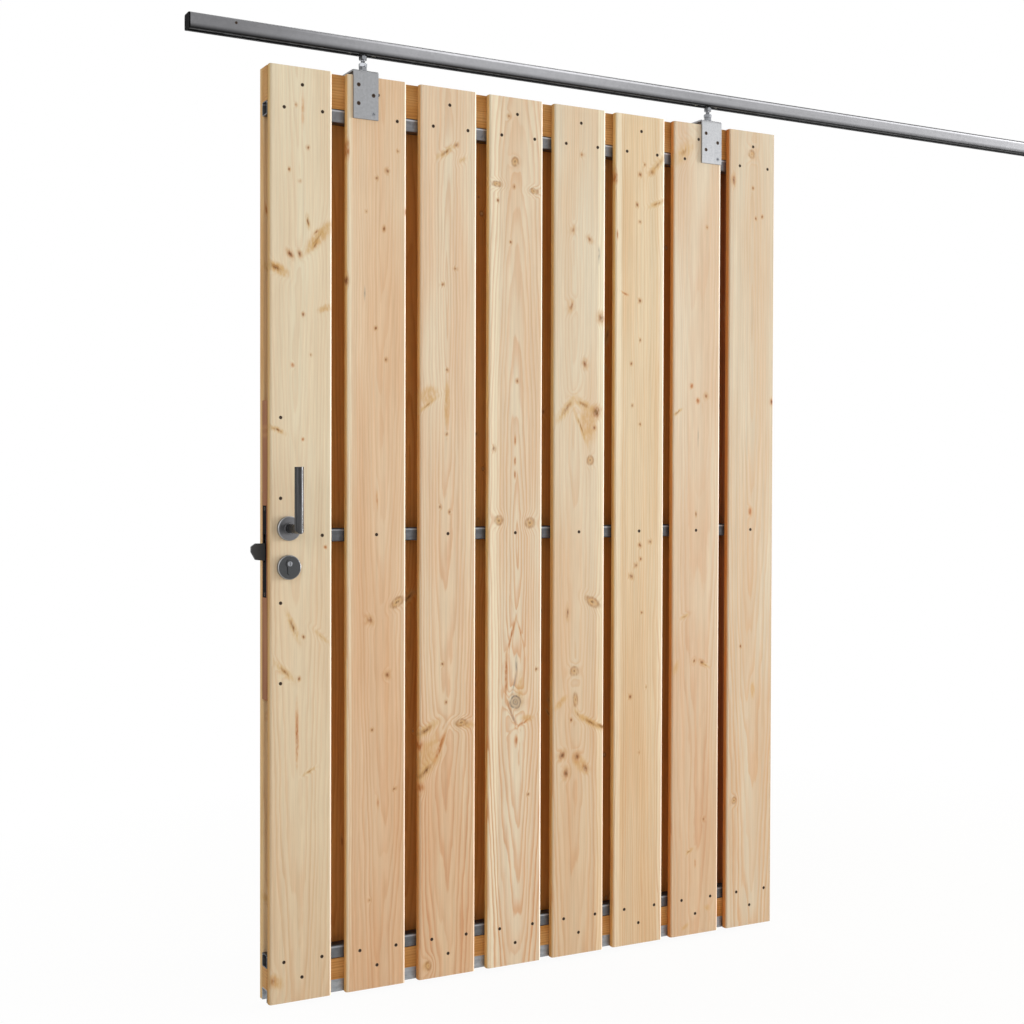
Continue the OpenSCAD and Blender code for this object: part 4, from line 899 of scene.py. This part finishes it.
def hexagon(height, bored):
    """A chamfered hexagon that stands on the origin, with a bore for the bolt if asked."""
    corner = AF / 2 / math.cos(math.radians(30))
    turned = 0.5 * (corner - TURNED * AF)
    bpy.ops.object.select_all(action="DESELECT")
    bpy.ops.mesh.primitive_cylinder_add(vertices=48, radius=corner * 1.001, depth=height - 2 * turned,
                                        location=(0, 0, height / 2))
    barrel = bpy.context.object
    bpy.ops.object.transform_apply(location=True)
    for side in (1, -1):
        pick("FACE", lambda f: f.normal.z * side > 0.9)
        draw_out(turned * side, TURNED * AF / corner)
    bpy.ops.object.mode_set(mode="OBJECT")
    bpy.ops.object.select_all(action="DESELECT")
    bpy.ops.mesh.primitive_cylinder_add(vertices=6, radius=corner, depth=height * 1.2,
                                        location=(0, 0, height / 2), rotation=(0, 0, math.radians(90)))
    nut = bpy.context.object
    bpy.ops.object.transform_apply(location=True, rotation=True)
    cutters = [(barrel, "INTERSECT")]
    if bored:
        bpy.ops.mesh.primitive_cylinder_add(vertices=36, radius=BOLT / 2 + 0.1 * MM, depth=height * 1.4,
                                            location=(0, 0, height / 2))
        cutters.append((bpy.context.object, "DIFFERENCE"))
    alone(nut)
    for cutter, operation in cutters:
        cut = nut.modifiers.new(operation.lower(), "BOOLEAN")
        cut.operation, cut.object = operation, cutter
        bpy.ops.object.modifier_apply(modifier=cut.name)
        bpy.data.objects.remove(cutter)
    bpy.ops.object.shade_smooth_by_angle(angle=math.radians(25))
    return nut


stacks = {}
for low, high in seats("hanger_nuts"):
    middle = (low + high) / 2
    stacks.setdefault(round(middle.x, 2), []).append((low.z, high.z - low.z, middle))
thick = max(height for stack in stacks.values() for low, height, middle in stack)
thin = min(height for stack in stacks.values() for low, height, middle in stack)
full_nut, thin_nut = hexagon(thick, True), hexagon(thin, True)
upper_turn = Matrix.Rotation(math.radians(25), 4, "Z")
full_places, thin_places = [], []
for stack in stacks.values():
    for k, (low, height, middle) in enumerate(sorted(stack, key=lambda entry: entry[0])):
        place = Vector((middle.x, middle.y, low))
        (thin_places if k == 0 else full_places).append((place, upper_turn if k == 2 else UP))
for model, name, places in ((full_nut, "hanger_hex_nuts", full_places),
                            (thin_nut, "hanger_thin_nuts", thin_places)):
    piece = set_out(model, name, places, bright_zinc)
    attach(piece, "leaf")
    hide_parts("hanger_nuts")
    bpy.data.objects.remove(model)

# %% Threaded bolts
THREAD_PITCH = 1.5 * MM
TOOTH = 0.6 * MM
COLLAR_LOW, COLLAR_HIGH = -45 * MM, -36 * MM
bolt_seats = seats("hanger_bolts")
low, high = bolt_seats[0]
thread_length = COLLAR_LOW - low.z
turns = int(thread_length / THREAD_PITCH) - 1

bpy.ops.object.select_all(action="DESELECT")
bpy.ops.mesh.primitive_circle_add(vertices=3, radius=TOOTH, rotation=(math.radians(90), math.radians(90), 0),
                                  location=(BOLT / 2 - TOOTH, 0, THREAD_PITCH / 2))
thread = bpy.context.object
bpy.ops.object.transform_apply(location=True, rotation=True)
helix = thread.modifiers.new("helix", "SCREW")
helix.axis, helix.screw_offset, helix.iterations = "Z", THREAD_PITCH, turns
helix.steps = helix.render_steps = 24
bpy.ops.object.modifier_apply(modifier="helix")
bpy.ops.object.mode_set(mode="EDIT")
bpy.ops.mesh.select_all(action="SELECT")
bpy.ops.mesh.fill_holes(sides=3)
bpy.ops.mesh.select_all(action="SELECT")
bpy.ops.mesh.normals_make_consistent(inside=False)
bpy.ops.object.mode_set(mode="OBJECT")

bpy.ops.object.select_all(action="DESELECT")
bpy.ops.mesh.primitive_cylinder_add(vertices=24, radius=BOLT / 2 - 1.5 * TOOTH + 0.1 * MM,
                                    depth=thread_length, location=(0, 0, thread_length / 2))
core = bpy.context.object
bpy.ops.object.transform_apply(location=True)
pick("FACE", lambda f: f.normal.z > 0.9)
draw_out(0.01 * MM, BOLT / (BOLT - 3 * TOOTH + 0.2 * MM))
draw_out(high.z - COLLAR_LOW)
bpy.ops.object.mode_set(mode="OBJECT")
collar = hexagon(COLLAR_HIGH - COLLAR_LOW, False)
collar.location.z = thread_length
alone(core)
for part in (thread, collar):
    part.select_set(True)
bpy.ops.object.join()
bpy.ops.object.shade_smooth_by_angle(angle=math.radians(35))
bolt = bpy.context.object
places = [(Vector(((a.x + b.x) / 2, (a.y + b.y) / 2, a.z)), UP) for a, b in bolt_seats]
piece = set_out(bolt, "hanger_threaded_bolts", places, bright_zinc)
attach(piece, "leaf")
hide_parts("hanger_bolts")
bpy.data.objects.remove(bolt)
print("thread of", turns, "turns")
